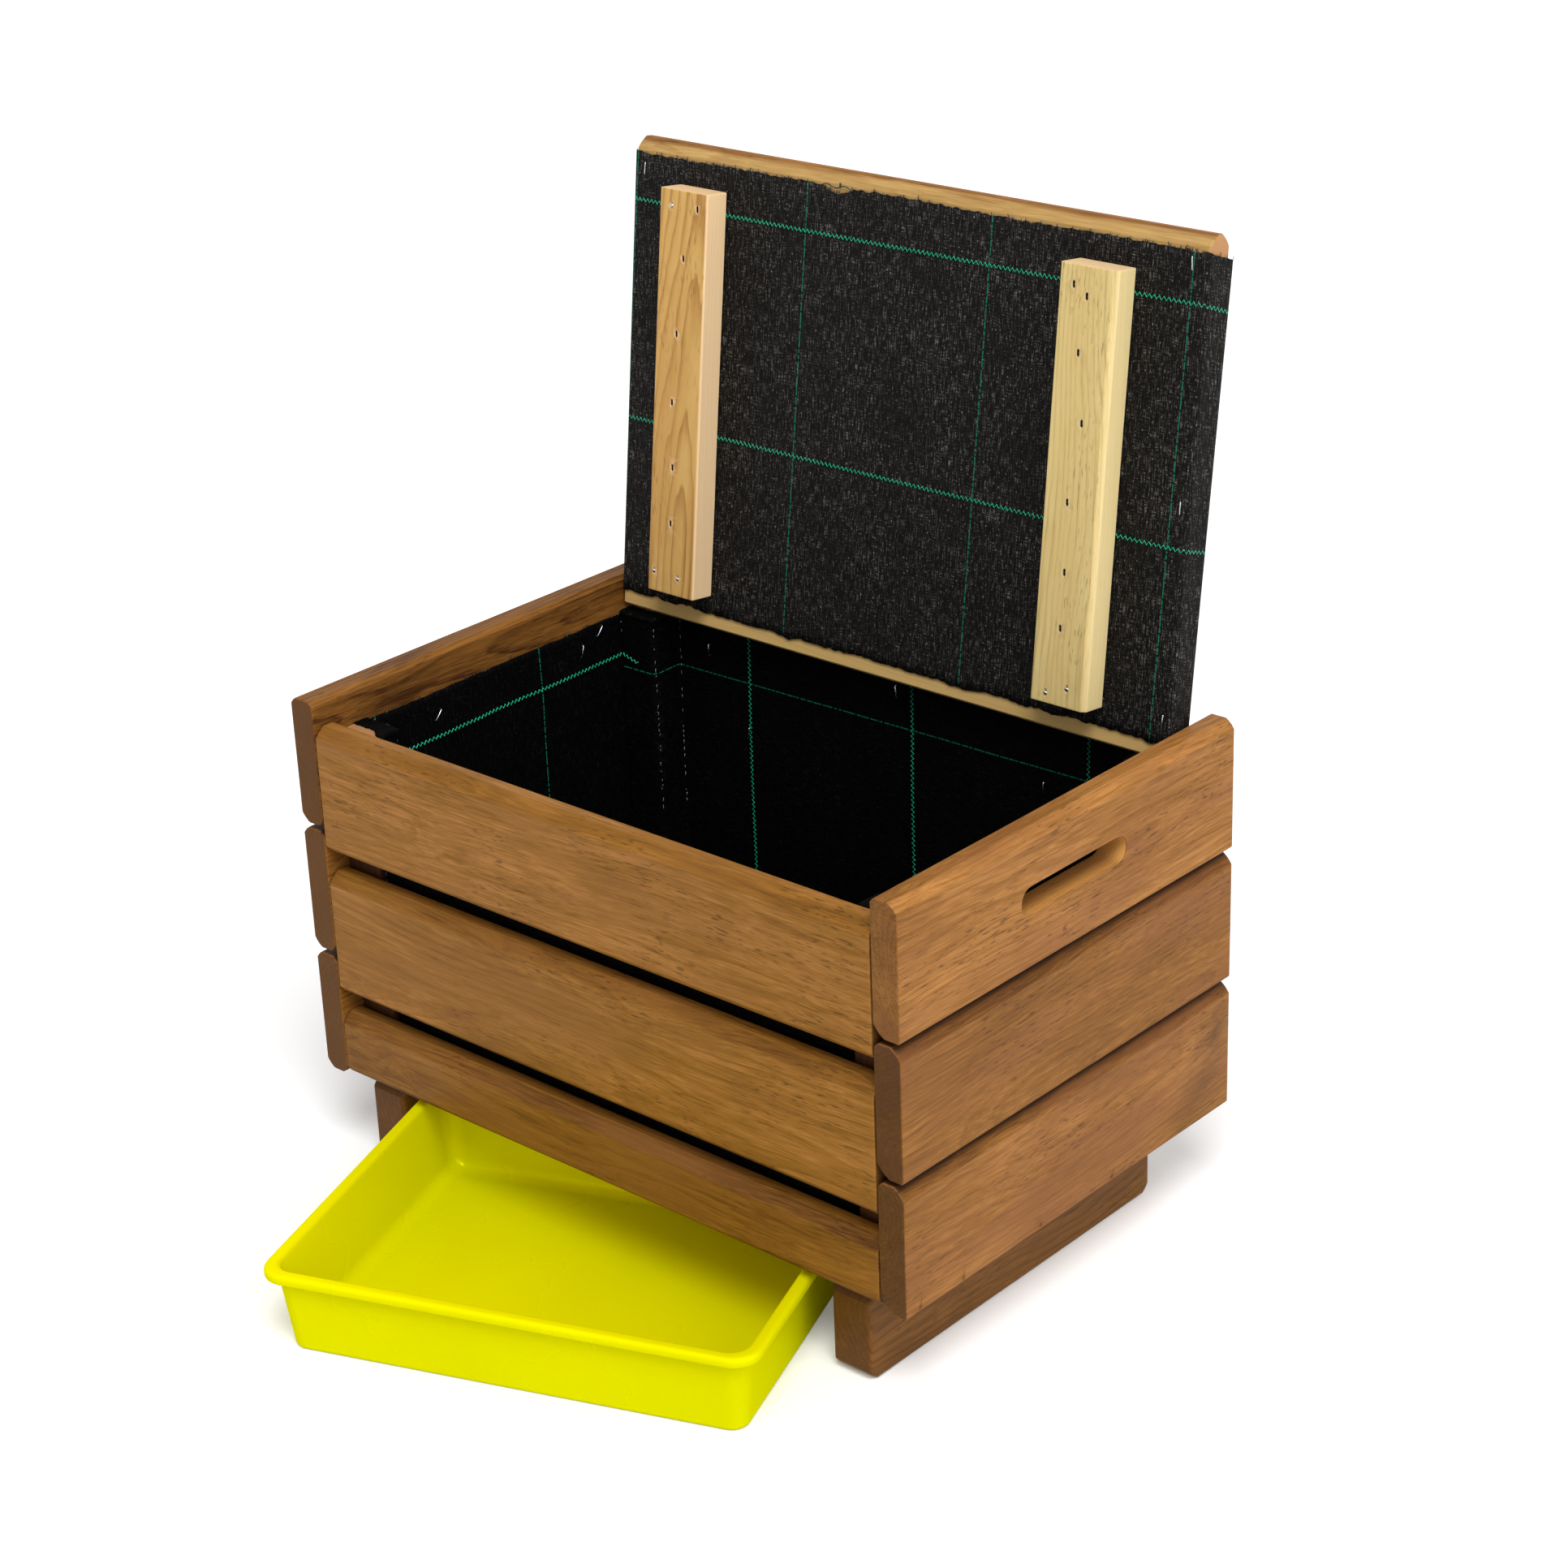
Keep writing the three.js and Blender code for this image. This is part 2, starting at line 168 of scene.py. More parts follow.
studio_floor()
studio_room()
studio_lamp("front_lamp", (0.45, -0.45, 1.0), 2.1, 26)
studio_lamp("right_lamp", (0.93, -0.12, 0.42), 1.15, 45)


# The skids. Two pieces of planed pine on edge, with rounded corners, that carry the box and leave
# room for the tray between them. They are nailed up into the floor slats and brushed with the same
# brown stain as the boards.
skid_edge = 0.0035
skid_corner = 0.008
stain_light = linear(182, 126, 68)
stain_middle = linear(138, 91, 38)
stain_dark = linear(86, 51, 16)
stain_fleck = linear(50, 26, 10)
stain_flush = linear(130, 82, 48)
ring_width = 0.0042
board_cell = 0.016
arc_steps = 5
ease_steps = 3
chamfer_bulge = 0.3
smallest_radius = 0.0002
held_level = 0.0012
shortest_held = 0.004
plane_ripple = 9
wood_crease = 31
# The band below a board's top edge, from 3.6 to 2.1 mm down, over which the painted shade in the gap under
# the next board comes in.
gap_shade_band = (-0.0036, -0.0021)
along_x, along_y, along_z = range(3)


def rounded_ring(width, height, radii, steps, flats=(1, 1), bulge=1.0):
    """Points round a rectangle with the four corners rounded by radii, with each flat divided as
    flats says and held level close to its ends. A bulge under 1 makes the corners chamfers."""
    arcs = []
    for quarter, (sign_x, sign_y) in enumerate(((1, 1), (-1, 1), (-1, -1), (1, -1))):
        radius = radii[quarter]
        turns = [(quarter + step / steps) * math.pi / 2 for step in range(steps + 1)]
        arc = [
            Vector((
                sign_x * (width / 2 - radius) + radius * math.cos(turn),
                sign_y * (height / 2 - radius) + radius * math.sin(turn),
            ))
            for turn in turns
        ]
        arcs.append([arc[0].lerp(arc[-1], k / steps).lerp(point, bulge) for k, point in enumerate(arc)])
    ring = []
    for i, arc in enumerate(arcs):
        ring += arc
        start, end, pieces = arc[-1], arcs[(i + 1) % 4][0], flats[i % 2]
        shares = [k / pieces for k in range(1, pieces)]
        long = (end - start).length
        if long > shortest_held:
            shares = [held_level / long] + shares + [1 - held_level / long]
        ring += [start.lerp(end, share) for share in shares]
    return ring


def loft(rings):
    """A skin over rings of points, with a flat cap on the first and the last."""
    skin = bmesh.new()
    loops = [[skin.verts.new(point) for point in ring] for ring in rings]
    count = len(loops[0])
    for low, high in zip(loops, loops[1:]):
        for i in range(count):
            skin.faces.new((low[i - 1], low[i], high[i], high[i - 1]))
    skin.faces.new(list(reversed(loops[0])))
    skin.faces.new(loops[-1])
    bmesh.ops.recalc_face_normals(skin, faces=skin.faces)
    return skin


def keep_creases(skin, crease):
    """Smooth shading that keeps the edges sharper than crease degrees."""
    for face in skin.faces:
        face.smooth = True
    for edge in skin.edges:
        edge.smooth = edge.calc_face_angle(0) < math.radians(crease)


def as_piece(name, skin, place=Matrix(), crease=wood_crease):
    keep_creases(skin, crease)
    mesh = bpy.data.meshes.new(name)
    skin.to_mesh(mesh)
    skin.free()
    mesh.transform(place)
    piece = bpy.data.objects.new(name, mesh)
    bpy.context.scene.collection.objects.link(piece)
    return piece


def box_in(place, node):
    """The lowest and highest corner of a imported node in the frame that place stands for."""
    back = place.inverted()
    corners = [back @ vertex.co for vertex in frame["nodes"][node].data.vertices]
    low = Vector([min(corner[i] for corner in corners) for i in range(3)])
    high = Vector([max(corner[i] for corner in corners) for i in range(3)])
    return low, high


def eased(radius, steps):
    """How far in along a piece, and how far in from its face, the points of a rounded edge lie."""
    turns = [k / steps * math.pi / 2 for k in range(steps + 1)]
    return [(radius * (1 - math.cos(turn)), radius * (1 - math.sin(turn))) for turn in turns]


def plank(low, high, run, radii, ease, wave, seed):
    """A board between two corners: its section, rounded by radii, runs along one axis, and its ends
    are eased. wave is how far the plane has left it uneven."""
    size = high - low
    side, rise = [axis for axis in range(3) if axis != run]
    flats = [max(1, round(size[axis] / board_cell)) for axis in (side, rise)]
    stations = [(0.0, ease + held_level), *eased(ease, ease_steps), (ease + held_level, 0.0)]
    long = size[run]
    lengths = max(2, round((long - 2 * ease) / board_cell))
    middle = [(ease + (long - 2 * ease) * k / lengths, 0.0) for k in range(1, lengths)]
    stations += middle + [(long - s, inset) for s, inset in reversed(stations)]
    rings = []
    for s, inset in stations:
        corners = [max(radius - inset, smallest_radius) for radius in radii]
        across = [size[axis] - 2 * inset for axis in (side, rise)]
        ring = []
        for point in rounded_ring(*across, corners, arc_steps, flats, chamfer_bulge):
            place = Vector()
            place[run] = low[run] + s
            place[side] = (low[side] + high[side]) / 2 + point.x
            place[rise] = (low[rise] + high[rise]) / 2 + point.y
            ring.append(place)
        rings.append(ring)
    skin = loft(rings)
    skin.normal_update()
    shift = Vector((seed * 1.37, seed * 0.71, seed * 2.11))
    for vertex in skin.verts:
        share = noise.noise(vertex.co * plane_ripple + shift) * 0.5 + 0.5
        vertex.co -= vertex.normal * wave * share
    return skin


def cut(piece, cutters):
    """Takes the cutters out of a piece."""
    for cutter in cutters:
        step = piece.modifiers.new("cut", "BOOLEAN")
        step.operation = "DIFFERENCE"
        step.solver = "EXACT"
        step.object = cutter
    solved = piece.evaluated_get(bpy.context.evaluated_depsgraph_get())
    mesh = bpy.data.meshes.new_from_object(solved)
    skin = bmesh.new()
    skin.from_mesh(mesh)
    keep_creases(skin, wood_crease)
    skin.to_mesh(mesh)
    skin.free()
    piece.modifiers.clear()
    piece.data = mesh
    for cutter in cutters:
        bpy.data.objects.remove(cutter)


def between(value, low, high):
    """How far a value has gone from low to high, held from 0 to 1."""
    return min(1.0, max(0.0, (value - low) / (high - low)))


def mark(piece, name, values):
    """Marks each point of a piece with a number, or with three."""
    single = len(values) == len(piece.data.vertices)
    marks = piece.data.attributes.new(name, "FLOAT" if single else "FLOAT_VECTOR", "POINT")
    marks.data.foreach_set("value" if single else "vector", values)


def write_grain(piece, low, high, along, pith, tone, soak, start, place, marks, hollow, edges, lip):
    """Marks each point with where it lies in the wood, measured from the pith, with the way its
    surface faces there, with the board's own tone, and with the grime about its marks. soak is how
    much stain its ends drank. edges darkens its bevels as painted shade, or lightens them as a
    painted highlight where it is negative. lip is the strength of a painted shade along its top, in
    the gap under the next board, which goes in with the grime. The inside of its hollow is paler, as
    worn bare wood, with painted light on the hollow's end that faces the front."""
    middle = (low + high) / 2
    size = high - low
    tall, thin = sorted((axis for axis in range(3) if axis != along), key=lambda axis: -size[axis])
    back = place.inverted()
    turn = back.to_3x3()
    grain, facing, tones, dirt_and_painted_shade = [], [], [], []
    for vertex in piece.data.vertices:
        spot = back @ vertex.co - middle
        normal = turn @ vertex.normal
        grain += [spot[along] + start, spot[tall] - pith[0], spot[thin] - pith[1]]
        end_on = between(abs(normal[along]), 0.55, 0.95)
        inside = hollow and all(hollow[0][i] < vertex.co[i] < hollow[1][i] for i in range(3))
        # Inside the hand hole the wood is paler, as worn bare wood, with painted light strongest on the end
        # that faces the front.
        wear_and_painted_light = 0.45 + 0.55 * max(0.0, -normal[along])
        facing += [-wear_and_painted_light if inside else end_on * soak, normal[tall], normal[thin]]
        # Painted shade on the bevels, or a painted highlight where edges is negative.
        bevel = 2 * abs(normal[tall] * normal[thin])
        tones.append(tone + 0.1 if inside else tone - edges * bevel)
        shares = [strength * (1 - (vertex.co - centre).length / reach) for centre, reach, strength in marks]
        # Painted shade along the top of the board, in the gap under the next board, away from its ends.
        under = lip * between(spot[tall] - size[tall] / 2, *gap_shade_band) * max(0.0, 1 - 3 * abs(normal[along]))
        dirt_and_painted_shade.append(min(1.0, max([under] + shares)))
    for name, values in (("grain", grain), ("facing", facing), ("tone", tones), ("dirt_and_painted_shade", dirt_and_painted_shade)):
        mark(piece, name, values)


def scaled(tree, vector, factors):
    return add(tree, "ShaderNodeVectorMath", {0: vector, 1: factors}, operation="MULTIPLY").outputs[0]


def moved(tree, vector, shift):
    return add(tree, "ShaderNodeVectorMath", {0: vector, 1: shift}, operation="ADD").outputs[0]


def noisy(tree, vector, factors, detail=2.0, roughness=0.5, output="Fac"):
    """Noise over a vector whose parts are first multiplied by factors, in waves a metre."""
    return add(tree, "ShaderNodeTexNoise", {
        "Vector": scaled(tree, vector, factors), "Scale": 1.0, "Detail": detail, "Roughness": roughness,
    }).outputs[output]


def stretched(tree, value, low, high, to_low=0.0, to_high=1.0):
    return add(tree, "ShaderNodeMapRange", {
        "Value": value, "From Min": low, "From Max": high, "To Min": to_low, "To Max": to_high,
    }).outputs[0]


def blended(tree, factor, first, second):
    return add(tree, "ShaderNodeMix", {0: factor, 6: first, 7: second}, data_type="RGBA").outputs[2]


def raised(tree, height, strength, distance):
    """The normal of a surface with fine relief."""
    return add(tree, "ShaderNodeBump", {
        "Height": height, "Strength": strength, "Distance": distance}).outputs[0]


def ramp(tree, value, first, last):
    """A colour that runs from first to last as a value goes from 0 to 1."""
    colours = add(tree, "ShaderNodeValToRGB", {0: value})
    colours.color_ramp.elements[0].color = first
    colours.color_ramp.elements[1].color = last
    return colours


def marked(tree, name):
    """The node that reads what the points of a piece are marked with."""
    return add(tree, "ShaderNodeAttribute", attribute_name=name)


def pine(name, light, middle, dark, fleck, flush, rings=0.14, fine=0.18, gloss=0.5, bare=None,
         end=None, sawn=None):
    """Pine, stained or bare: year rings about the pith, fine fibres, blotches where the stain took
    unevenly or flushed red, dark pores and end grain. bare is the colour pair of a back that wasn't
    stained, end the colour of the sawn ends with its share, and sawn the colour of the narrow sides."""
    material, tree, shader = new_material(name)
    place = marked(tree, "grain").outputs["Vector"]
    facing = add(tree, "ShaderNodeSeparateXYZ", {0: marked(tree, "facing").outputs["Vector"]})
    tone, dirt_and_painted_shade = marked(tree, "tone").outputs["Fac"], marked(tree, "dirt_and_painted_shade").outputs["Fac"]

    warped = place
    for waves, swing in (((1.7, 7.0, 7.0), (0.0, 0.055, 0.075)), ((11.0, 70.0, 70.0), (0.0, 0.006, 0.006))):
        colour = noisy(tree, place, waves, output="Color")
        centred = moved(tree, colour, (-0.5, -0.5, -0.5))
        warped = moved(tree, warped, scaled(tree, centred, swing))
    across = scaled(tree, warped, (0.0, 1.0, 1.0))
    reach = add(tree, "ShaderNodeVectorMath", {0: across}, operation="LENGTH").outputs["Value"]
    year = maths(tree, "FRACT", maths(tree, "DIVIDE", reach, ring_width))
    late = stretched(tree, year, 0.25, 0.9)
    early = stretched(tree, year, 0.93, 1.0, 1.0, 0.0)
    ring = maths(tree, "MULTIPLY", maths(tree, "POWER", late, 2.2), early)

    fibre = noisy(tree, warped, (32.0, 900.0, 900.0), 2.0, 0.6)
    streak = noisy(tree, warped, (7.0, 190.0, 190.0), 3.0)
    blotch = noisy(tree, place, (7.0, 24.0, 24.0), 3.0, 0.6)
    pores = noisy(tree, place, (95.0, 620.0, 620.0), 1.0)
    pored_area = noisy(tree, place, (9.0, 20.0, 20.0), 1.0)
    flushed = noisy(tree, moved(tree, place, (3.0, 5.0, 7.0)), (6.0, 26.0, 26.0))

    depth = maths(tree, "MULTIPLY", ring, rings)
    for part, swing in ((fibre, fine), (streak, 0.1), (blotch, 0.14)):
        depth = maths(tree, "ADD", depth, stretched(tree, part, 0.3, 0.7, -swing, swing))
    depth = maths(tree, "ADD", depth, maths(tree, "SUBTRACT", 0.88, tone))
    shade = ramp(tree, depth, light, dark)
    shade.color_ramp.elements.new(0.45).color = middle
    colour = blended(tree, stretched(tree, flushed, 0.45, 0.65, 0.0, 0.5), shade.outputs[0], flush)
    pored = maths(tree, "MULTIPLY", stretched(tree, pores, 0.6, 0.7),
                  stretched(tree, pored_area, 0.42, 0.62))
    colour = blended(tree, maths(tree, "MULTIPLY", pored, 0.55), colour, fleck)
    if bare:
        upper = maths(tree, "MAXIMUM", maths(tree, "MULTIPLY", facing.outputs[1], -0.42), 0.0)
        under = maths(tree, "ADD", facing.outputs[2], stretched(tree, streak, 0.3, 0.7, -0.1, 0.1))
        bared = stretched(tree, maths(tree, "ADD", under, upper), -0.2, -0.4)
        colour = blended(tree, bared, colour, ramp(tree, depth, *bare).outputs[0])
    if sawn:
        sideways = stretched(tree, maths(tree, "ABSOLUTE", facing.outputs[1]), 0.5, 0.8, 0.0, 0.85)
        colour = blended(tree, sideways, colour, sawn)
    end_colour, end_share = end or (fleck, 0.7)
    soaked = maths(tree, "MAXIMUM", maths(tree, "MULTIPLY", facing.outputs[0], end_share), 0.0)
    colour = blended(tree, soaked, colour, end_colour)
    # Paler colour inside the hand hole: worn bare wood, with painted light on its end that faces the front.
    worn_and_painted_light = maths(tree, "MAXIMUM", maths(tree, "MULTIPLY", facing.outputs[0], -0.8), 0.0)
    colour = blended(tree, worn_and_painted_light, colour, linear(214, 158, 84))
    # Grime about the marks, and painted shade in the gaps under the boards above, in one dark brown.
    colour = blended(tree, dirt_and_painted_shade, colour, linear(38, 26, 18))
    height = maths(tree, "ADD", maths(tree, "MULTIPLY", ring, 0.6), maths(tree, "MULTIPLY", fibre, 0.5))
    feed(shader, {
        "Base Color": colour, "Specular IOR Level": 0.14,
        "Roughness": stretched(tree, depth, 0.0, 1.0, 1.0 - gloss, 1.06 - gloss),
        "Normal": raised(tree, height, 0.3, 0.0004),
    })
    return material


def fit(piece, body, slot, *nodes):
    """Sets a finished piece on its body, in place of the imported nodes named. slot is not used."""
    if nodes:
        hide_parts(*nodes)
    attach(piece, body)


def board(node, body, finish, slot, along, radii, pith=(0.01, 0.05), tone=0.5, soak=1.0, run=None,
          ease=0.0015, wave=0.0003, short=0.0, place=Matrix(), cutters=(), marks=(), hollow=None,
          edges=0.05, lip=0.0):
    """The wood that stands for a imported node, short at its upper end, with its own grain."""
    chance = random.Random(node)
    low, high = box_in(place, node)
    high[along] -= short
    seed = chance.uniform(0, 20)
    skin = plank(low, high, along if run is None else run, radii, ease, wave, seed)
    piece = as_piece(f"wood_{node}", skin, place)
    if cutters:
        cut(piece, cutters)
    write_grain(piece, low, high, along, pith, tone, soak, seed, place, marks, hollow, edges, lip)
    piece.data.materials.clear()
    piece.data.materials.append(finish)
    fit(piece, body, slot, node)


skid_pine = pine("stained_skid_pine", linear(138, 92, 40), linear(106, 68, 24), linear(64, 38, 10),
                 stain_fleck, linear(100, 64, 22), rings=0.25, end=(linear(76, 42, 10), 0.5))
for side in ("left", "right"):
    knot = (Vector((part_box(f"skid_{side}")[1].x, 0.148, 0.022)), 0.014, 0.5)
    board(f"skid_{side}", "box", skid_pine, "stained_pine", along_y, (skid_corner,) * 4, run=along_x,
          pith=(0.02, 0.06), ease=skid_edge, marks=[knot])

# The floor slats and the corner posts. Sawn pine that the boards are fixed to: the slats are left
# bare and the posts are dark brown with pale ends. The slats lie across the skids with a gap for
# the drips, and only the tips of the posts show above the liner.
bare_light = linear(236, 200, 138)
bare_middle = linear(214, 174, 108)
bare_dark = linear(168, 118, 62)
bare_fleck = linear(120, 78, 40)
sawn_corner = 0.001
sawn_ease = 0.0008
bare_pine = pine("bare_pine", bare_light, bare_middle, bare_dark, bare_fleck, bare_middle, rings=0.3,
                 gloss=0.35, end=(bare_middle, 0.5))

for number in range(1, 5):
    board(f"floor_slat_{number}", "box", bare_pine, "pale_pine", along_x, (sawn_corner,) * 4,
          ease=sawn_ease, pith=(0.01 * number, 0.04))
post_cut = 0.0018
post_pine = pine("post_pine", linear(104, 64, 34), linear(78, 46, 24), linear(46, 26, 12), stain_fleck,
                 linear(70, 44, 26), end=(linear(176, 128, 86), 0.9))
for end in ("front", "back"):
    for side in ("left", "right"):
        board(f"corner_post_{end}_{side}", "box", post_pine, "pale_pine", along_z, (sawn_corner,) * 4,
              ease=sawn_ease, pith=(0.004, 0.012), short=post_cut)

# The side boards. Three on each side, planed pine with rounded edges and crisp ends, brushed brown
# and screwed to the posts from inside. The top one has a hand hole with round ends and worn mouths,
# and the nails of the floor slats leave a row of small dents in the bottom one.
stained_pine = pine("stained_pine", stain_light, stain_middle, stain_dark, stain_fleck, stain_flush)
streaky_pine = pine("streaky_pine", stain_light, stain_middle, linear(66, 37, 13), stain_fleck,
                    stain_middle, rings=0.28, end=(linear(86, 53, 17), 0.9))
side_corners = {"top": (0.0075, 0.004, 0.010, 0.002), "middle": (0.009, 0.0045, 0.011, 0.002),
                "bottom": (0.009, 0.0045, 0.012, 0.002)}
left_corners = {"top": (0.004, 0.005, 0.008, 0.006), "middle": (0.005, 0.006, 0.008, 0.006),
                "bottom": (0.005, 0.006, 0.008, 0.006)}
hand_hole = (0.121, 0.021)
hand_hole_wear = 0.0010
hand_hole_rim = 0.004
nail_dent = 0.0022
nail_dent_depth = 0.0008
nail_dirt = (nail_dent * 0.95, 0.8)
# How dark the painted shade is along the top of a middle or bottom board, under the board above.
painted_gap_shade = 0.85
side_nail_y = [-0.074, -0.026, 0.063, 0.149]
side_nail_z = 0.077
side_tones = {
    "right_top": (0.56, (0.006, 0.045), 0.5), "right_middle": (0.36, (-0.05, 0.06), 1.0),
    "right_bottom": (0.48, (0.03, -0.05), 1.0), "left_top": (0.20, (0.02, 0.04), 1.0),
    "left_middle": (0.40, (0.05, 0.05), 1.0), "left_bottom": (0.38, (-0.03, 0.05), 1.0),
}
smudges = [((0.281, 0.141), 0.030, 0.60), ((0.264, 0.108), 0.034, 0.45), ((0.247, 0.090), 0.036, 0.30)]


def hand_hole_cutter(low, high):
    """A slot with round ends, opened out where it leaves the two faces."""
    thick = high.x - low.x
    middle = (low + high) / 2
    over = 0.002
    stations = [(-over, hand_hole_wear), *eased(hand_hole_wear, 4)]
    stations += [(thick - s, grow) for s, grow in reversed(stations)]
    rings = []
    for s, grow in stations:
        length, height = hand_hole[0] + 2 * grow, hand_hole[1] + 2 * grow
        outline = rounded_ring(length, height, (height / 2 - 0.00001,) * 4, 12, (6, 1))
        rings.append([Vector((low.x + s, middle.y + point.x, middle.z + point.y)) for point in outline])
    return as_piece("hand_hole_cutter", loft(rings))


def dent_cutter(spot, radii):
    """A shallow dimple at a spot, as wide as radii say along each axis."""
    ball = bmesh.new()
    bmesh.ops.create_icosphere(ball, subdivisions=3, radius=1.0)
    bmesh.ops.scale(ball, vec=radii, verts=ball.verts)
    bmesh.ops.translate(ball, vec=spot, verts=ball.verts)
    return as_piece("dent_cutter", ball)


for side, sign in (("left", -1), ("right", 1)):
    for row in ("bottom", "middle", "top"):
        node = f"side_board_{side}_{row}"
        low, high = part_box(node)
        outer_x = high.x if sign > 0 else low.x
        cutters, marks, hollow = [], [], None
        if row == "top":
            cutters.append(hand_hole_cutter(low, high))
            # The wood inside the hand hole and round its mouth is marked to be paler: worn bare wood, with
            # painted light.
            grown = Vector((-0.0009, hand_hole[0] / 2 + hand_hole_rim, hand_hole[1] / 2 + hand_hole_rim))
            middle, half = (low + high) / 2, (high - low) / 2
            reach = Vector((half.x, 0, 0)) + grown
            hollow = (middle - reach, middle + reach)
        if row == "bottom":
            holes = [Vector((outer_x, y, side_nail_z)) for y in side_nail_y]
            cutters += [dent_cutter(hole, (nail_dent_depth, nail_dent, nail_dent)) for hole in holes]
            marks = [(hole - Vector((nail_dent_depth * sign, 0, 0)), *nail_dirt) for hole in holes]
            marks += [(Vector((outer_x, *spot)), reach, share) for spot, reach, share in smudges]
        tone, pith, soak = side_tones[f"{side}_{row}"]
        # The lower boards get painted shade on their bevels and along their tops under the next board; the
        # top ones get a painted highlight on their bevels.
        board(node, "box", stained_pine if sign > 0 else streaky_pine, "stained_pine", along_y,
              (side_corners if sign > 0 else left_corners)[row], pith, tone, soak,
              cutters=cutters, marks=marks, hollow=hollow, edges=-0.12 if row == "top" else 0.36,
              lip=0.0 if row == "top" else painted_gap_shade)

# The front and back boards. Three each, let in between the side boards with wide drip gaps; the
# bottom one is ripped narrower. The top front one is left plain.
golden_pine = pine("golden_pine", stain_light, linear(139, 93, 32), linear(84, 50, 10), stain_fleck,
                   linear(136, 90, 40))
end_nail_x = [-0.198, -0.012, 0.203]
end_nail_z = 0.078
end_corners = {-1: (0.004, 0.009, 0.006, 0.006), 1: (0.009, 0.004, 0.006, 0.006)}
end_tones = {
    "front_top": (0.52, (0.01, 0.03)), "front_middle": (0.47, (-0.02, 0.05)),
    "front_bottom": (0.31, (0.04, 0.06)), "back_top": (0.50, (0.02, 0.04)),
    "back_middle": (0.42, (0.03, 0.05)), "back_bottom": (0.46, (-0.01, 0.04)),
}
for end, sign in (("front", -1), ("back", 1)):
    for row in ("bottom", "middle", "top"):
        node = f"{end}_board_{row}"
        low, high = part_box(node)
        outer_y = high.y if sign > 0 else low.y
        holes = [Vector((x, outer_y, end_nail_z)) for x in end_nail_x] if row == "bottom" else []
        cutters = [dent_cutter(hole, (nail_dent, nail_dent_depth, nail_dent)) for hole in holes]
        marks = [(hole - Vector((0, nail_dent_depth * sign, 0)), *nail_dirt) for hole in holes]
        tone, pith = end_tones[f"{end}_{row}"]
        # edges paints shade on the bevels of the front and back boards, a little less on the top ones.
        board(node, "box", golden_pine, "stained_pine", along_x, end_corners[sign], pith, tone,
              cutters=cutters, marks=marks, edges=0.2 if row == "top" else 0.3)

# The liner. Black woven weed fabric with green lines, cut with scissors and stapled inside the bin:
# a floor, a panel on each side wall, and at each end one strip that runs round the two posts.
weave_black = linear(10, 9, 8)
weave_grey = linear(132, 127, 122)
line_green = linear(16, 110, 84)
cloth_thick = 0.0007
cloth_gap = 0.0005
cloth_crease = 60
line_pitch = 0.178
thread_step = 0.0021
thread_swing = 0.0014
thread_radius = 0.00042
thread_lift = 0.0005
pressed_lift = 0.0002
tape_end = (0.00045, 0.00012)
tape_tucked = 0.0015
wall_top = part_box("liner_left")[1].z
floor_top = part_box("liner_floor")[1].z


def weed_fabric(name, black, grey, shine):
    """Black tape weave: upright tapes a millimetre wide, dull blotches and thin dashed green lines."""
    material, tree, shader = new_material(name)
    place = marked(tree, "weave").outputs["Vector"]
    parts = add(tree, "ShaderNodeSeparateXYZ", {0: place})
    tapes = noisy(tree, place, (1250.0, 90.0, 0.0), 1.0)
    weft = noisy(tree, place, (170.0, 950.0, 0.0), 1.0)
    dust = noisy(tree, place, (24.0, 17.0, 0.0), 4.0, 0.65)
    specks = noisy(tree, place, (650.0, 420.0, 0.0), 0.0)
    pale = maths(tree, "MULTIPLY", stretched(tree, tapes, 0.5, 0.76), stretched(tree, weft, 0.4, 0.66))
    pale = maths(tree, "MULTIPLY", pale, stretched(tree, dust, 0.35, 0.68, 0.3, 1.1))
    pale = maths(tree, "ADD", pale, stretched(tree, specks, 0.72, 0.8, 0.0, 0.5))
    colour = blended(tree, maths(tree, "MINIMUM", pale, 1.0), black, grey)
    shifted = maths(tree, "ADD", parts.outputs[0], maths(tree, "MULTIPLY", parts.outputs[1], -0.012))
    turn = maths(tree, "FRACT", maths(tree, "ADD", maths(tree, "DIVIDE", shifted, line_pitch), 0.5))
    away = maths(tree, "ABSOLUTE", maths(tree, "SUBTRACT", turn, 0.5))
    near = stretched(tree, away, 0.0034, 0.0024)
    dash = stretched(tree, noisy(tree, place, (0.0, 420.0, 0.0), 1.0), 0.42, 0.5)
    colour = blended(tree, maths(tree, "MULTIPLY", near, dash), colour, line_green)
    feed(shader, {
        "Base Color": colour, "Roughness": 0.75, "Specular IOR Level": shine,
        "Normal": raised(tree, maths(tree, "ADD", tapes, weft), 0.5, 0.0004),
    })
    return material


def mottled(name, waves, first, second, rough, low=0.0, high=1.0):
    """A material that goes from one colour to another in fine spots, so many waves a metre."""
    material, tree, shader = new_material(name)
    place = add(tree, "ShaderNodeTexCoord").outputs["Object"]
    spots = noisy(tree, place, (waves,) * 3, 1.0)
    colour = blended(tree, stretched(tree, spots, low, high), first, second)
    feed(shader, {"Base Color": colour, "Roughness": rough})
    return material, tree, shader, spots


# The liner in the bin has a darker copy of the weave than the lid's, as painted shade inside the bin.
shaded_bin_weave = weed_fabric("shaded_bin_fabric", linear(1, 1, 1), linear(36, 35, 34), 0.04)
green_thread = mottled("green_thread", 700.0, linear(0, 140, 102), linear(44, 214, 164), 0.5, 0.3, 0.7)[0]
tape_ends = mottled("tape_ends", 300.0, weave_black, linear(74, 71, 68), 0.6, 0.4, 0.7)[0]
# Pale tape dashes that paint glints of light where the weave is strained over a fold.
painted_glint_tape = mottled("painted_glint_tape", 500.0, linear(70, 70, 68), linear(190, 192, 186), 0.4)[0]


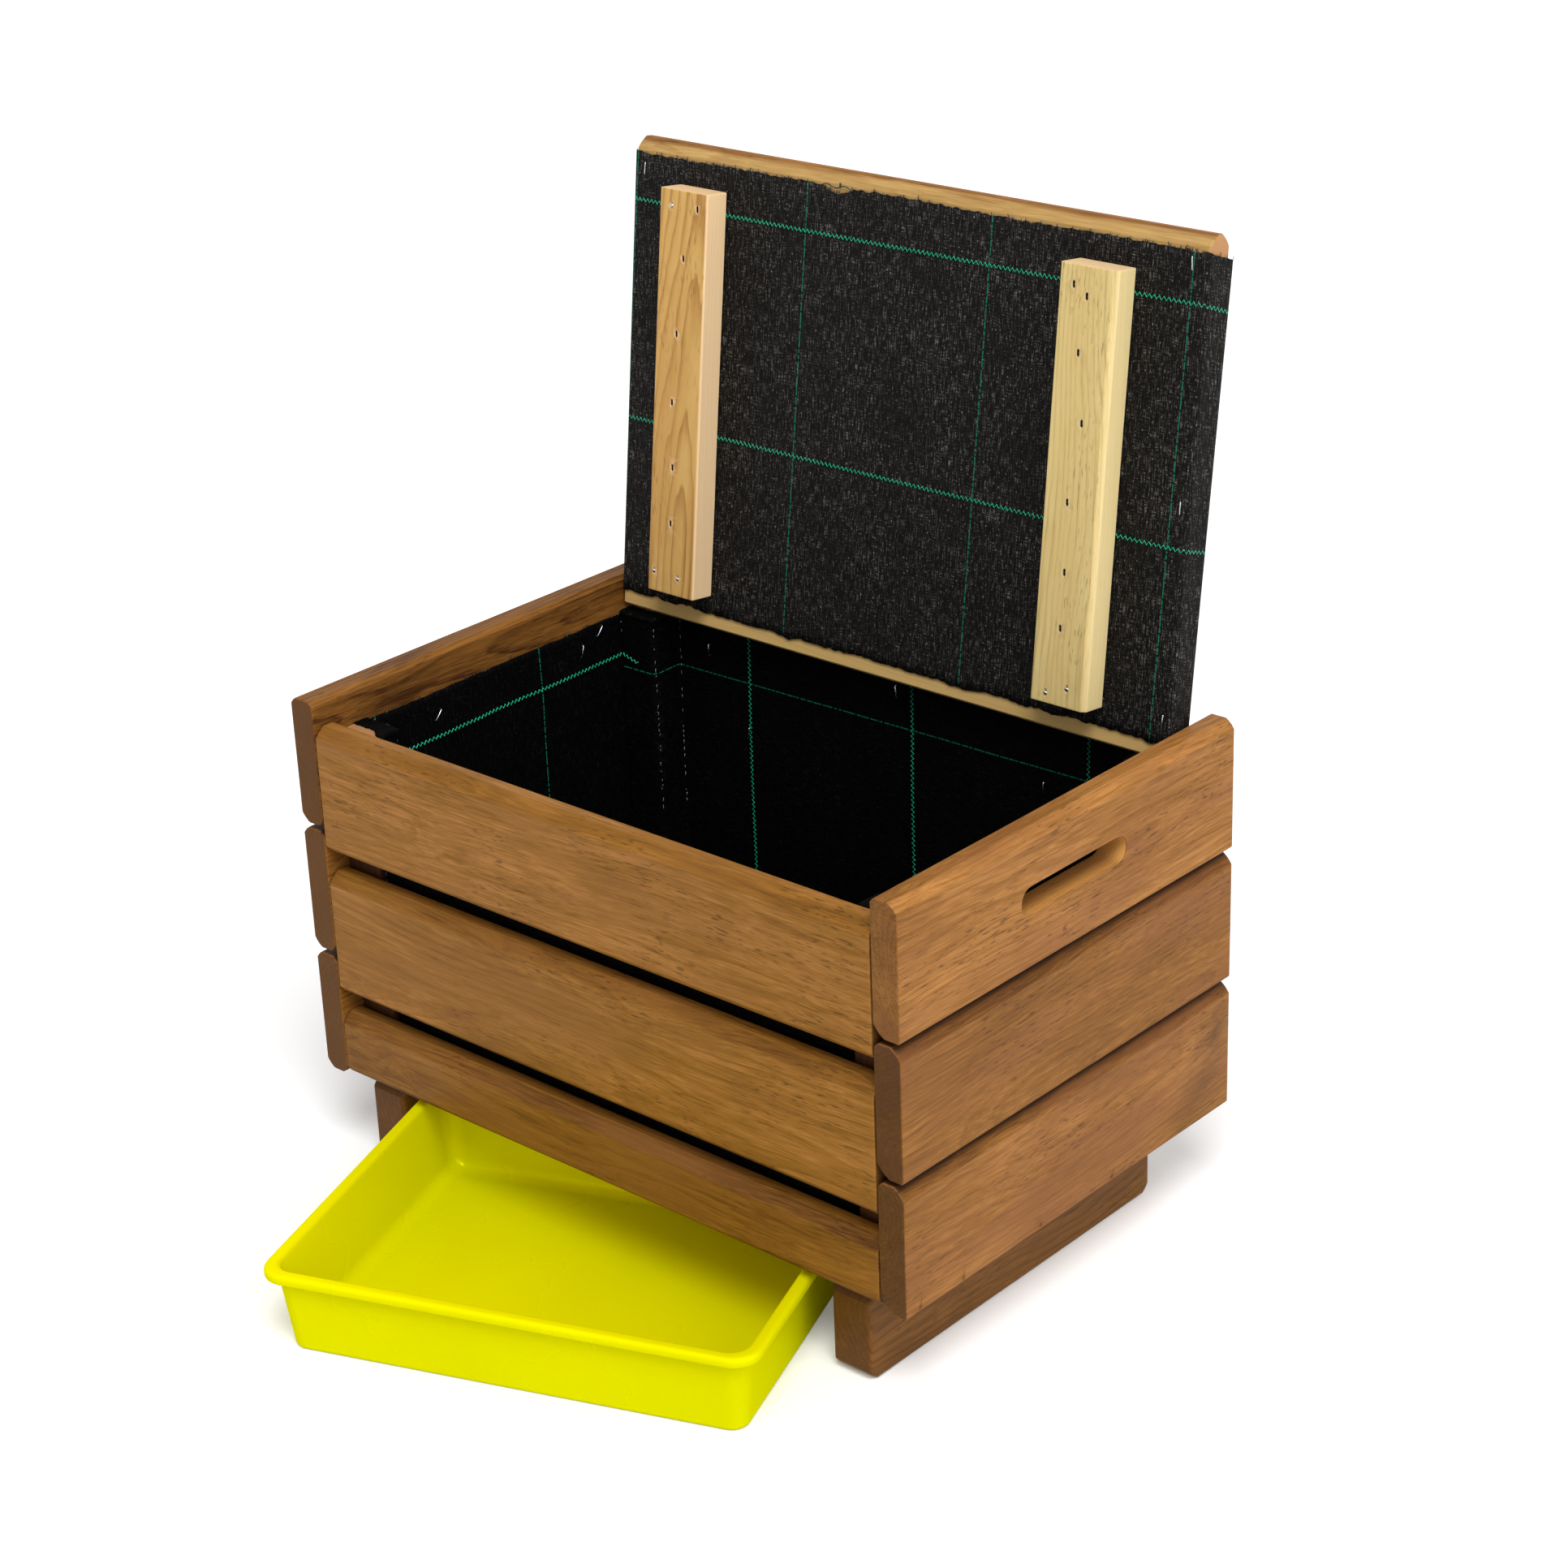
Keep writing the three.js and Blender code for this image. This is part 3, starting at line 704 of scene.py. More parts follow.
def steady(*parts):
    """Smooth noise from -1 to 1 at a place."""
    return noise.noise(Vector(parts))


def ragged(s, *waves):
    """How far a hand-cut edge wanders at s; a wave is its height, how often it comes, and its seed."""
    return sum(height * steady(s * often, *seed) for height, often, seed in waves)


def normal_at(shape, s, t):
    step = 0.0006
    across = shape(s + step, t) - shape(s - step, t)
    up = shape(s, t + step) - shape(s, t - step)
    return across.cross(up).normalized()


def woven(piece, marks, weave):
    """Marks each point of a sheet with its place in the weave, and gives it its fabric."""
    mark(piece, "weave", marks)
    piece.data.materials.append(weave)
    return piece


def cloth(name, shape, span, foot, head, weave, origin=(0.0, 0.0), swapped=False, cell=0.005, tall=1):
    """A sheet of fabric over shape(s, t), from s = span[0] to span[1] and from foot(s) to head(s),
    with both faces and its cut edges, in cells that are tall times as high as wide. The weave is
    marked in metres from origin."""
    columns = max(2, round((span[1] - span[0]) / cell))
    rows = max(2, round((head(span[0]) - foot(span[0])) / (cell * tall)))
    skin = bmesh.new()
    layers = [[], []]
    marks = []
    for lift, layer in ((cloth_thick / 2, layers[0]), (-cloth_thick / 2, layers[1])):
        for i in range(columns + 1):
            s = span[0] + (span[1] - span[0]) * i / columns
            low, high = foot(s), head(s)
            line = []
            for j in range(rows + 1):
                t = low + (high - low) * j / rows
                line.append(skin.verts.new(shape(s, t) + normal_at(shape, s, t) * lift))
                here = (s - origin[0], t - origin[1])
                marks += [here[1], here[0], 0.0] if swapped else [here[0], here[1], 0.0]
            layer.append(line)
    upper, under = layers
    for i in range(columns):
        for j in range(rows):
            skin.faces.new((upper[i][j], upper[i + 1][j], upper[i + 1][j + 1], upper[i][j + 1]))
            skin.faces.new((under[i][j], under[i][j + 1], under[i + 1][j + 1], under[i + 1][j]))
    rims = [(upper[i][0], under[i][0]) for i in range(columns + 1)]
    rims += [(upper[columns][j], under[columns][j]) for j in range(1, rows + 1)]
    rims += [(upper[i][rows], under[i][rows]) for i in range(columns - 1, -1, -1)]
    rims += [(upper[0][j], under[0][j]) for j in range(rows - 1, 0, -1)]
    for (top, low), (next_top, next_low) in zip(rims, rims[1:] + rims[:1]):
        skin.faces.new((next_top, top, low, next_low))
    return woven(as_piece(name, skin, crease=cloth_crease), marks, weave)


def sweep(skin, points, half_wide, half_thick=None, sides=6, hint=Vector((0, 0, 1))):
    """A wire, thread or tape through points, closed at both ends."""
    flat = half_thick or half_wide
    loops = []
    for i, point in enumerate(points):
        ahead = (points[min(i + 1, len(points) - 1)] - points[max(i - 1, 0)]).normalized()
        side = ahead.cross(hint)
        side = side.normalized() if side.length > 0.01 else ahead.orthogonal().normalized()
        rise = side.cross(ahead)
        loops.append([
            skin.verts.new(point + side * half_wide * math.cos(turn) + rise * flat * math.sin(turn))
            for turn in (k * math.tau / sides for k in range(sides))
        ])
    for low, high in zip(loops, loops[1:]):
        for k in range(sides):
            skin.faces.new((low[k - 1], low[k], high[k], high[k - 1]))
    skin.faces.new(list(reversed(loops[0])))
    skin.faces.new(loops[-1])


def sewn_line(skin, shape, start, end, face=1, pressed=lambda s: False):
    """A thick green zigzag thread across one face of a sheet, from (s, t) to (s, t); where it is
    pressed against the next board it lies in the weave."""
    start, end = Vector(start), Vector(end)
    ahead = (end - start).normalized()
    aside = Vector((-ahead.y, ahead.x))
    count = int((end - start).length / thread_step)
    points = []
    for i in range(count + 1):
        wander = aside * (0.0006 * steady(i * 0.011, start.x * 7, start.y * 7))
        spot = start + ahead * thread_step * i + wander + aside * (thread_swing if i % 2 else -thread_swing)
        lift = pressed_lift if pressed(spot.x) else cloth_thick / 2 + thread_lift
        points.append(shape(*spot) + normal_at(shape, *spot) * face * lift)
    sweep(skin, points, thread_radius, sides=5, hint=normal_at(shape, *start))


def frayed(skin, shape, span, head, count, chance):
    """Loose tape ends along a cut edge."""
    for _ in range(count):
        s = chance.uniform(*span)
        reach = chance.choice((0.0008, 0.001, 0.0014, 0.0024)) * chance.uniform(0.7, 1.3)
        lean, lift = chance.uniform(-0.6, 0.6), chance.uniform(0.0, 0.0012)
        points = []
        for k in range(5):
            share = k / 4
            t = head(s) - tape_tucked + (reach + tape_tucked) * share
            spot = (s + lean * reach * share * share, t)
            points.append(shape(*spot) + normal_at(shape, *spot) * (lift * share))
        sweep(skin, points, *tape_end, sides=4, hint=normal_at(shape, s, head(s)))


def worn(name, skin, material, body="box", slot="weed_fabric"):
    """The object of a finished set of threads, ends or wires."""
    piece = as_piece(name, skin, crease=cloth_crease)
    piece.data.materials.append(material)
    fit(piece, body, slot)
    return piece


wall_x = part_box("liner_left")[0].x + cloth_gap
wall_y = (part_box("liner_left")[0].y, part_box("liner_left")[1].y)


def wall_head(s):
    return wall_top - 0.0015 + ragged(s, (0.0012, 60, (3.1, 0)), (0.0008, 300, (1.0, 0)))


def wall_foot(s):
    return floor_top + 0.0008


def left_wall(s, t):
    fade = 0.25 + 0.75 * between(wall_top - t, 0.0, 0.05)
    ripple = 0.0015 * (1 + steady(s * 14, t * 9, 5)) + 0.001 * (1 + steady(s * 45, t * 12, 9))
    return Vector((wall_x + ripple * fade, s, t))


def right_wall(s, t):
    inner = left_wall(s + 3.0, t)
    return Vector((-inner.x, s, t))


def wall_panel(name, node, shape, line_y, line_z, face):
    panel = cloth(name, shape, wall_y, wall_foot, wall_head, shaded_bin_weave, origin=(line_y, 0.0))
    fit(panel, "box", "weed_fabric", node)
    lines = bmesh.new()
    for drop in (0.0, line_pitch):
        ends_at = [(wall_y[0] + 0.002, line_z[0] - drop), (wall_y[1] - 0.002, line_z[1] - drop)]
        sewn_line(lines, shape, *ends_at, face)
    lines = worn(f"{name}_lines", lines, green_thread)
    ends = bmesh.new()
    frayed(ends, shape, wall_y, wall_head, 60, random.Random(name))
    ends = worn(f"{name}_ends", ends, tape_ends)


wall_panel("fabric_left", "liner_left", left_wall, 0.145, (0.324, 0.327), 1)
wall_panel("fabric_right", "liner_right", right_wall, 0.100, (0.318, 0.316), -1)


def wrapped_path(corners, radius):
    """Points and distances along a plan outline with its corners rounded."""
    points = [Vector(corners[0])]
    for before, corner, after in zip(corners, corners[1:], corners[2:]):
        corner = Vector(corner)
        start = corner + (Vector(before) - corner).normalized() * radius
        end = corner + (Vector(after) - corner).normalized() * radius
        for k in range(9):
            share = k / 8
            points.append(start.lerp(corner, share).lerp(corner.lerp(end, share), share))
    points.append(Vector(corners[-1]))
    return points


def at_distance(points, distance):
    for start, end in zip(points, points[1:]):
        length = (end - start).length
        if distance <= length:
            return start + (end - start) * (distance / length)
        distance -= length
    return points[-1] + (points[-1] - points[-2]).normalized() * distance


def over_edge(distance, edge, radius=0.0016):
    """How far out and how far down cloth lies that is laid over an edge and hangs from it."""
    past = distance - edge
    if past <= 0:
        return distance, 0.0
    turn = min(past / radius, math.pi / 2)
    return edge + radius * math.sin(turn), radius * (1 - math.cos(turn)) + past - turn * radius


def post_flap(end, side):
    """The cloth turned over the top of a post; at the left posts it leaves a sliver bare."""
    low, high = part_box(f"corner_post_{end}_{side}")
    start_x, way_x = (low.x, 1) if side == "left" else (high.x, -1)
    start_y, way_y = (low.y, 1) if end == "front" else (high.y, -1)
    wide, deep = high.x - low.x, high.y - low.y
    top = high.z - post_cut + cloth_thick / 2 + 0.0001

    def shape(s, t):
        out_x, down_x = over_edge(s, wide)
        out_y, down_y = over_edge(t, deep)
        ripple = 0.0002 * (1 + steady(s * 90, t * 90, 60))
        return Vector((start_x + way_x * out_x, start_y + way_y * out_y, top + ripple - down_x - down_y))

    def foot(s):
        sliver = 0.007 * between(s, 0.034, 0.024) if side == "left" else 0.0
        return 0.010 + sliver + ragged(s, (0.0014, 300, (4.0, 0)))

    return cloth(f"fabric_{end}_flap_{side}", shape, (0.0005, wide + 0.0045), foot,
                 lambda s: deep + 0.0045 + ragged(s, (0.0008, 260, (6.0, 0))), shaded_bin_weave, cell=0.0018)


def glints(skin, shape, places, low, high, chance):
    """Short pale dashes, painted glints of light through the tape where it is strained over a fold."""
    for s in places:
        t = high
        while t > low:
            long = chance.uniform(0.001, 0.004)
            spots = [(s + chance.uniform(-0.0004, 0.0004), t - long * share) for share in (0.0, 0.5, 1.0)]
            points = [shape(*spot) + normal_at(shape, *spot) * 0.0007 for spot in spots]
            sweep(skin, points, 0.00022, sides=4, hint=Vector((1, 1, 0)))
            t -= long + chance.choice((0.002, 0.004, 0.009)) * chance.uniform(0.6, 1.4)


def end_strip(end, sign):
    """The strip at one end: from the side wall round the left post, along the end boards and round
    the right post; s runs along it and t is the height."""
    node = f"liner_{end}"
    low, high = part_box(node)
    post_low, post_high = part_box(f"corner_post_{end}_left")
    clear = 0.0008
    wall = high.y - cloth_gap if sign > 0 else low.y + cloth_gap
    front = post_low.y - clear if sign > 0 else post_high.y + clear
    inner = post_high.x + clear
    corners = [(low.x, front), (inner, front), (inner, wall)]
    corners += [(-inner, wall), (-inner, front), (high.x, front)]
    points = wrapped_path(corners, 0.003)
    total = sum((b - a).length for a, b in zip(points, points[1:]))

    def shape(s, t):
        here, ahead = at_distance(points, s), at_distance(points, s + 0.0005)
        aside = (ahead - here).normalized()
        inward = Vector((aside.y, -aside.x)) * sign
        fade = between(wall_top - t, 0.01, 0.09)
        ripple = 0.0022 * (1 + steady(s * 13, t * 7, 20 + sign)) * fade
        spot = here + inward * ripple
        return Vector((spot.x, spot.y, t))

    def head(s):
        return wall_top - 0.001 + ragged(s, (0.001, 60, (8.1, sign)), (0.0007, 300, (2.0, sign)))

    strip = cloth(f"fabric_{end}", shape, (0.0, total), wall_foot, head, shaded_bin_weave, swapped=True,
                  origin=(0.0, 0.315))
    fit(strip, "box", "weed_fabric", node)
    lines = bmesh.new()
    first = (inner - low.x) + abs(wall - front) - 0.004
    for x in (-0.157, 0.0145, 0.187):
        s = first + (x - inner)
        sewn_line(lines, shape, (s, floor_top + 0.003), (s, wall_top - 0.003), sign)
    if sign > 0:
        sewn_line(lines, shape, (0.001, 0.3265), (0.021, 0.321))
    lines = worn(f"fabric_{end}_lines", lines, green_thread)
    ends = bmesh.new()
    frayed(ends, shape, (0.002, total - 0.002), head, 90, random.Random(end))
    ends = worn(f"fabric_{end}_ends", ends, tape_ends)
    # Painted glints: pale dashes down the folds round the posts.
    strained = bmesh.new()
    folds = (0.0015, inner - low.x, first + 0.005)
    glints(strained, shape, folds, 0.19, wall_top - 0.008, random.Random(f"glints {end}"))
    strained = worn(f"fabric_{end}_glints", strained, painted_glint_tape)
    flaps = [post_flap(end, side) for side in ("left", "right")]
    for flap in flaps:
        fit(flap, "box", "weed_fabric")


end_strip("back", 1)
end_strip("front", -1)


floor_cloth_thick = 0.0006


def floor_sheet():
    """The floor, notched at the four posts and lying a little uneven on the slats."""
    low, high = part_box("liner_floor")
    post_low, post_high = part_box("corner_post_front_left")
    notch_x = post_high.x + 0.0006
    notch_y = post_high.y + 0.0006

    def height(x, y):
        return low.z + 0.0004 + 0.0002 * (1 + steady(x * 9, y * 9, 31))

    def stops(first, notch, count):
        inner = [notch + (-2 * notch) * k / count for k in range(count + 1)]
        return [first, (first + notch) / 2] + inner + [-(first + notch) / 2, -first]

    middle_y = (low.y + high.y) / 2
    xs = stops(low.x, notch_x, 80)
    ys = [middle_y + y for y in stops(low.y - middle_y, notch_y - middle_y, 50)]
    skin = bmesh.new()
    grid = [[skin.verts.new((x, y, height(x, y))) for y in ys] for x in xs]
    for i in range(len(xs) - 1):
        for j in range(len(ys) - 1):
            if not ((i < 2 or i > len(xs) - 4) and (j < 2 or j > len(ys) - 4)):
                skin.faces.new((grid[i][j], grid[i][j + 1], grid[i + 1][j + 1], grid[i + 1][j]))
    bmesh.ops.delete(skin, geom=[vertex for vertex in skin.verts if not vertex.link_faces], context="VERTS")
    upper = bmesh.ops.extrude_face_region(skin, geom=skin.faces[:], use_keep_orig=True)["geom"]
    raised_points = [point for point in upper if isinstance(point, bmesh.types.BMVert)]
    bmesh.ops.translate(skin, vec=(0, 0, floor_cloth_thick), verts=raised_points)
    bmesh.ops.recalc_face_normals(skin, faces=skin.faces)
    piece = as_piece("fabric_floor", skin, crease=cloth_crease)
    marks = [value for vertex in piece.data.vertices for value in (vertex.co.x + 0.03, vertex.co.y, 0.0)]
    woven(piece, marks, shaded_bin_weave)
    fit(piece, "box", "weed_fabric", "liner_floor")


floor_sheet()

# The staples. Bright wire, ten millimetres across the crown, shot in by hand along the top of the
# liner and down the ends of the lid.
staple_crown = 0.010
staple_wire = 0.00045
bright_wire, wire_tree, wire_shader, wire_spots = mottled(
    "bright_wire", 900.0, linear(170, 172, 176), linear(225, 226, 230), 0.3)
feed(wire_shader, {"Metallic": 1.0, "Roughness": stretched(wire_tree, wire_spots, 0.3, 0.7, 0.2, 0.4)})


def staple(skin, middle, up, out, lean=0.0, wire=staple_wire):
    """One staple: its crown stands proud of the cloth and its legs go into the wood."""
    up = (up + up.cross(out) * lean).normalized()
    legs = [(-0.5, -0.0015), (-0.5, 0.0010), (-0.44, 0.0016), (0.44, 0.0016), (0.5, 0.0010), (0.5, -0.0015)]
    points = [middle + up * share * staple_crown + out * lift for share, lift in legs]
    sweep(skin, points, wire, sides=6, hint=up.cross(out))


def wall_staples():
    skin = bmesh.new()
    up = Vector((0, 0, 1))
    for y, z, lean in ((0.034, 0.343, 0.9), (0.196, 0.344, 0.3), (0.218, 0.355, 0.9), (-0.06, 0.348, 0.0)):
        for shape, out in ((left_wall, Vector((1, 0, 0))), (right_wall, Vector((-1, 0, 0)))):
            staple(skin, shape(y, z) + out * 0.0007, up, out, lean, 0.0005)
    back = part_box("liner_back")[1].y - 0.0012
    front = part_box("liner_front")[0].y + 0.0012
    for x, z, lean in ((0.145, 0.306, 0.0), (-0.159, 0.274, 0.1), (0.0, 0.350, -0.1), (-0.2, 0.338, 0.0)):
        staple(skin, Vector((x, back - 0.003, z)), up, Vector((0, -1, 0)), lean)
        staple(skin, Vector((-x, front + 0.003, z)), up, Vector((0, 1, 0)), lean)
    worn("liner_staples", skin, bright_wire, "box", "zinc_steel")


wall_staples()

# The lid boards. Four pine boards side by side, stained on the outside and left bare underneath,
# where a pale strip shows above and below the fabric.
lid_joint = next(joint for joint in frame["joints"] if joint["child"] == "lid")
lid_lean = -math.radians(lid_joint["range_deg"][1])
lid_place = Matrix.Translation(lid_joint["pos_m"]) @ Matrix.Rotation(lid_lean, 4, "X")
lid_corner_radius = 0.0095
lid_stain = (stain_light, stain_middle, stain_dark, stain_fleck, stain_flush)
lid_bare = linear(208, 172, 108)
lid_end = (linear(190, 142, 96), 0.8)
lid_foot_radius = 0.002
lid_pine = pine("lid_pine", *lid_stain, bare=(lid_bare, linear(140, 100, 50)), end=lid_end)
foot_pine = pine("lid_foot_pine", *lid_stain, bare=(lid_bare, lid_bare), end=lid_end)
for number in range(1, 5):
    finish, foot_radius = (foot_pine, lid_foot_radius) if number == 1 else (lid_pine, lid_corner_radius)
    board(f"lid_board_{number}", "lid", finish, "stained_pine", along_x,
          (lid_corner_radius,) * 3 + (foot_radius,),
          pith=(0.02 * number - 0.05, 0.05), tone=0.52, place=lid_place)

# The battens. Two lengths of pale pine across the underside, each held by nine nails that drew
# little dents; the left one shows arched grain, the right one open straight grain.
batten_corners = {"left": (0.0016,) * 4, "right": (0.0016, 0.0016, 0.0016, 0.0042)}
batten_end = linear(232, 196, 150)
left_pine = pine("left_batten_pine", linear(226, 188, 118), linear(205, 162, 92), linear(152, 100, 48),
                 linear(96, 62, 32), linear(198, 148, 84), rings=0.42, fine=0.07, gloss=0.35,
                 end=(batten_end, 0.9), sawn=linear(250, 216, 170))
right_pine = pine("right_batten_pine", linear(230, 208, 146), linear(216, 191, 128), linear(170, 140, 84),
                  linear(110, 80, 44), linear(212, 182, 116), rings=0.36, fine=0.18, gloss=0.35,
                  end=(batten_end, 0.9), sawn=linear(228, 206, 150))
brad_head = (0.0007, 0.0013)
brad_head_thick = 0.0009
brad_shank = 0.0006
brad_length = 0.036
brad_dent = (0.0016, 0.0034, 0.0022)
brad_dirt = (0.0020, 4.0)
brad_dirt_apart = 0.0013
brad_dirt_depth = 0.0018
proud_wide, sunk_wide = 2.3, 0.8
brad_shifts = {("right", 8): (0.0, 0.002), ("right", 9): (-0.015, 0.009), ("right", 7): (-0.006, 0.010),
               ("right", 6): (0.006, 0.0), ("right", 5): (0.001, 0.004), ("right", 4): (0.0, 0.0035),
               ("right", 1): (0.007, 0.009)}


def battens():
    for side, finish, pith, tone in (
        ("left", left_pine, (0.004, 0.020), 0.52), ("right", right_pine, (0.05, 0.03), 0.55),
    ):
        nails = [f"lid_nail_{side}_{number}" for number in range(1, 10)]
        spots = []
        for number, nail in enumerate(nails, 1):
            low, high = box_in(lid_place, nail)
            aside, down = brad_shifts.get((side, number), (0.0, 0.0))
            spots.append(Vector(((low.x + high.x) / 2 + aside, (low.y + high.y) / 2 + down, low.z)))
        proud = spots[:2] + ([min(spots[-2:], key=lambda spot: spot.x)] if side == "left" else [])
        chance = random.Random(side)
        cutters = []
        for spot in spots:
            cutter = dent_cutter(Vector((0, 0, 0)), brad_dent)
            cutter.data.transform(lid_place @ Matrix.Translation(spot))
            cutters.append(cutter)
        marks = [(lid_place @ (spot + Vector((0, shift * brad_dirt_apart, brad_dirt_depth))), *brad_dirt)
                 for spot in spots if spot not in proud for shift in (-1, 0, 1)]
        # edges paints shade on the battens' bevels, more on the right one.
        board(f"lid_batten_{side}", "lid", finish, "pale_pine", along_y, batten_corners[side], pith, tone,
              ease=sawn_ease, place=lid_place, cutters=cutters, marks=marks,
              edges=0.3 if side == "right" else 0.1)
        brads = bmesh.new()
        for spot in spots:
            turn = chance.uniform(-0.5, 0.5)
            shown = spot in proud
            sunk = spot.z + (-0.0003 if shown else chance.uniform(0.0016, 0.0019))
            wide = brad_head[0] * (proud_wide if shown else sunk_wide)
            ends = [Vector((spot.x, spot.y, sunk + deep))
                    for deep in (0.0, brad_head_thick, brad_head_thick - 0.0001, brad_length)]
            sweep(brads, ends[:2], wide, brad_head[1], sides=8,
                  hint=Vector((math.sin(turn), math.cos(turn), 0)))
            sweep(brads, ends[2:], brad_shank, sides=6, hint=Vector((0, 1, 0)))
        piece = as_piece(f"brads_{side}", brads, lid_place)
        piece.data.materials.append(bright_wire)
        fit(piece, "lid", "zinc_steel", *nails)


battens()

# The lid's fabric. One sheet over the underside, turned round both ends and stapled on the outside;
# its top and bottom edges are cut unevenly, and the turned end stands off at the top right.
lid_liner_low, lid_liner_high = box_in(lid_place, "lid_liner")
lid_half = lid_liner_high.x - cloth_gap
lid_under = lid_liner_low.z + cloth_gap
lid_over = lid_liner_high.z - cloth_gap
lid_return = 0.028
lid_foot_y = 0.0226
lid_corner = 0.0025
lid_cloth_low = 0.0130
lid_cloth_high = 0.3725
lid_slit = 0.064
lid_slit_half = 0.013
lid_slit_deep = 0.0058
lid_staple_lift = 0.0010
lid_path = wrapped_path([
    (-(lid_half - lid_return), lid_over), (-lid_half, lid_over), (-lid_half, lid_under),
    (lid_half, lid_under), (lid_half, lid_over), (lid_half - lid_return, lid_over),
], lid_corner)
lid_total = sum((b - a).length for a, b in zip(lid_path, lid_path[1:]))
lid_deep = lid_over - lid_under


def turned_share(t):
    """How much of its slant the turned end shows at a height; none at the foot."""
    return between(t, 0.03, 0.23)


def lid_fabric(s, t):
    """s runs round the lid from its left turned edge, and t up from its foot."""
    spot = at_distance(lid_path, s)
    u = spot.x
    sag = 0.0006 * (1 + steady(s * 10, t * 8, 40))
    turned = max(0.0, (s - (lid_total - 0.052)) / 0.052)
    flare = 0.0095 * turned * between(t, 0.03, 0.36) ** 1.3
    lift = flare if u > 0 and turned > 0 else 0.0
    z = spot.y - (sag if abs(spot.y - lid_under) < 0.0001 else 0.0) * 0.3 + lift
    sheared = 0.3 * max(0.0, abs(s - lid_total / 2) - (lid_total / 2 - lid_return - lid_deep))
    return lid_place @ Vector((u, lid_foot_y - t + sheared * turned_share(t), z))


def lid_cloth_foot(s):
    bumps = max(0.0, ragged(s, (0.0028, 75, (9.5, 0))))
    return lid_cloth_low + ragged(s, (0.0012, 22, (5.5, 0)), (0.0015, 240, (7.5, 0))) - bumps


def lid_cloth_head(s):
    u = s - lid_total / 2
    slit = lid_slit_deep * max(0.0, 1 - abs(u + lid_slit) / lid_slit_half) ** 0.5
    return lid_cloth_high + ragged(s, (0.0018, 12, (1.5, 0)), (0.0014, 220, (2.5, 0))) - slit


def round_the_end(s):
    """Whether a place lies on the lid's end, where the side boards leave the threads no room."""
    return -0.005 < abs(s - lid_total / 2) - lid_half < lid_deep


def lid_sheet():
    # The lid's fabric is a paler copy of the same weave, as painted light where the lid faces the lamps.
    lit_lid_weave = weed_fabric("lid_fabric", weave_black, weave_grey, 0.1)
    piece = cloth("lid_fabric", lid_fabric, (0.0, lid_total), lid_cloth_foot, lid_cloth_head, lit_lid_weave,
                  origin=(lid_total / 2 - 0.098, 0.0), cell=0.002, tall=4)
    fit(piece, "lid", "weed_fabric", "lid_liner")
    lines = bmesh.new()
    for t in (0.335, 0.1585):
        sewn_line(lines, lid_fabric, (0.002, t), (lid_total - 0.002, t), pressed=round_the_end)
    lines = worn("lid_fabric_lines", lines, green_thread, "lid")
    ends = bmesh.new()
    chance = random.Random("lid")
    frayed(ends, lid_fabric, (0.002, lid_total - 0.002), lid_cloth_head, 170, chance)
    middle, high = lid_total / 2 - lid_slit, lid_cloth_high - 0.0003
    torn = [lid_fabric(middle + 0.015 * (2 * k / 12 - 1), high + 0.0012 * math.sin(k * 0.9))
            for k in range(13)]
    up = lid_place.to_3x3() @ Vector((0, -1, 0))
    out = lid_place.to_3x3() @ Vector((0, 0, -1))
    sweep(ends, [point + out * 0.0007 for point in torn], 0.0005, sides=5, hint=out)
    knot = [lid_fabric(middle + 0.003, high + 0.0011 * k) + out * 0.001 for k in range(4)]
    sweep(ends, knot, 0.0008, sides=6, hint=out)
    ends = worn("lid_fabric_ends", ends, tape_ends, "lid")
    staples = bmesh.new()
    for u, t, lean in ((-0.264, 0.360, 0.05), (0.261, 0.363, -0.1), (0.268, 0.189, 0.0),
                       (0.268, 0.030, 0.1)):
        middle = lid_place @ Vector((u, lid_foot_y - t, lid_under + lid_staple_lift))
        staple(staples, middle, up, out, lean)
    worn("lid_staples", staples, bright_wire, "lid", "zinc_steel")


lid_sheet()

# The tray. One moulding in lime plastic, with thin walls that lean out to a broad rim with a
# turned-down lip. A painted glow stands for the light the plastic lets through, strongest where it
# is open to the sky and dim under the box. It stands on the ground and slides in under the floor slats.
tray_joint = next(joint for joint in frame["joints"] if joint["child"] == "tray_body")
tray_turn = -math.radians(tray_joint["range_deg"][0])
tray_size = Vector((0.385, 0.300, 0.070))
tray_wall = 0.0024
tray_rim = 0.0078
tray_taper = 0.0067
tray_corner = 0.020
tray_foot_round = 0.0032
tray_rim_round = 0.0034
tray_lip_round = 0.001
tray_lip_drop = 0.0072
tray_fillet = 0.011
tray_lean = 5
tray_held = 0.006
tray_centre = (sum(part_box("tray"), Vector()) / 2).to_2d()
tray_place = Matrix.Translation((*tray_centre, 0.0)) @ Matrix.Rotation(tray_turn, 4, "Z")
lime = linear(183, 189, 0)
lime_deep = linear(178, 184, 0)
lime_painted_glow = linear(255, 222, 0)


def arc(centre, radius, start, end, steps=5):
    turns = [math.radians(start + (end - start) * k / steps) for k in range(steps + 1)]
    return [(centre[0] + radius * math.cos(turn), centre[1] + radius * math.sin(turn)) for turn in turns]


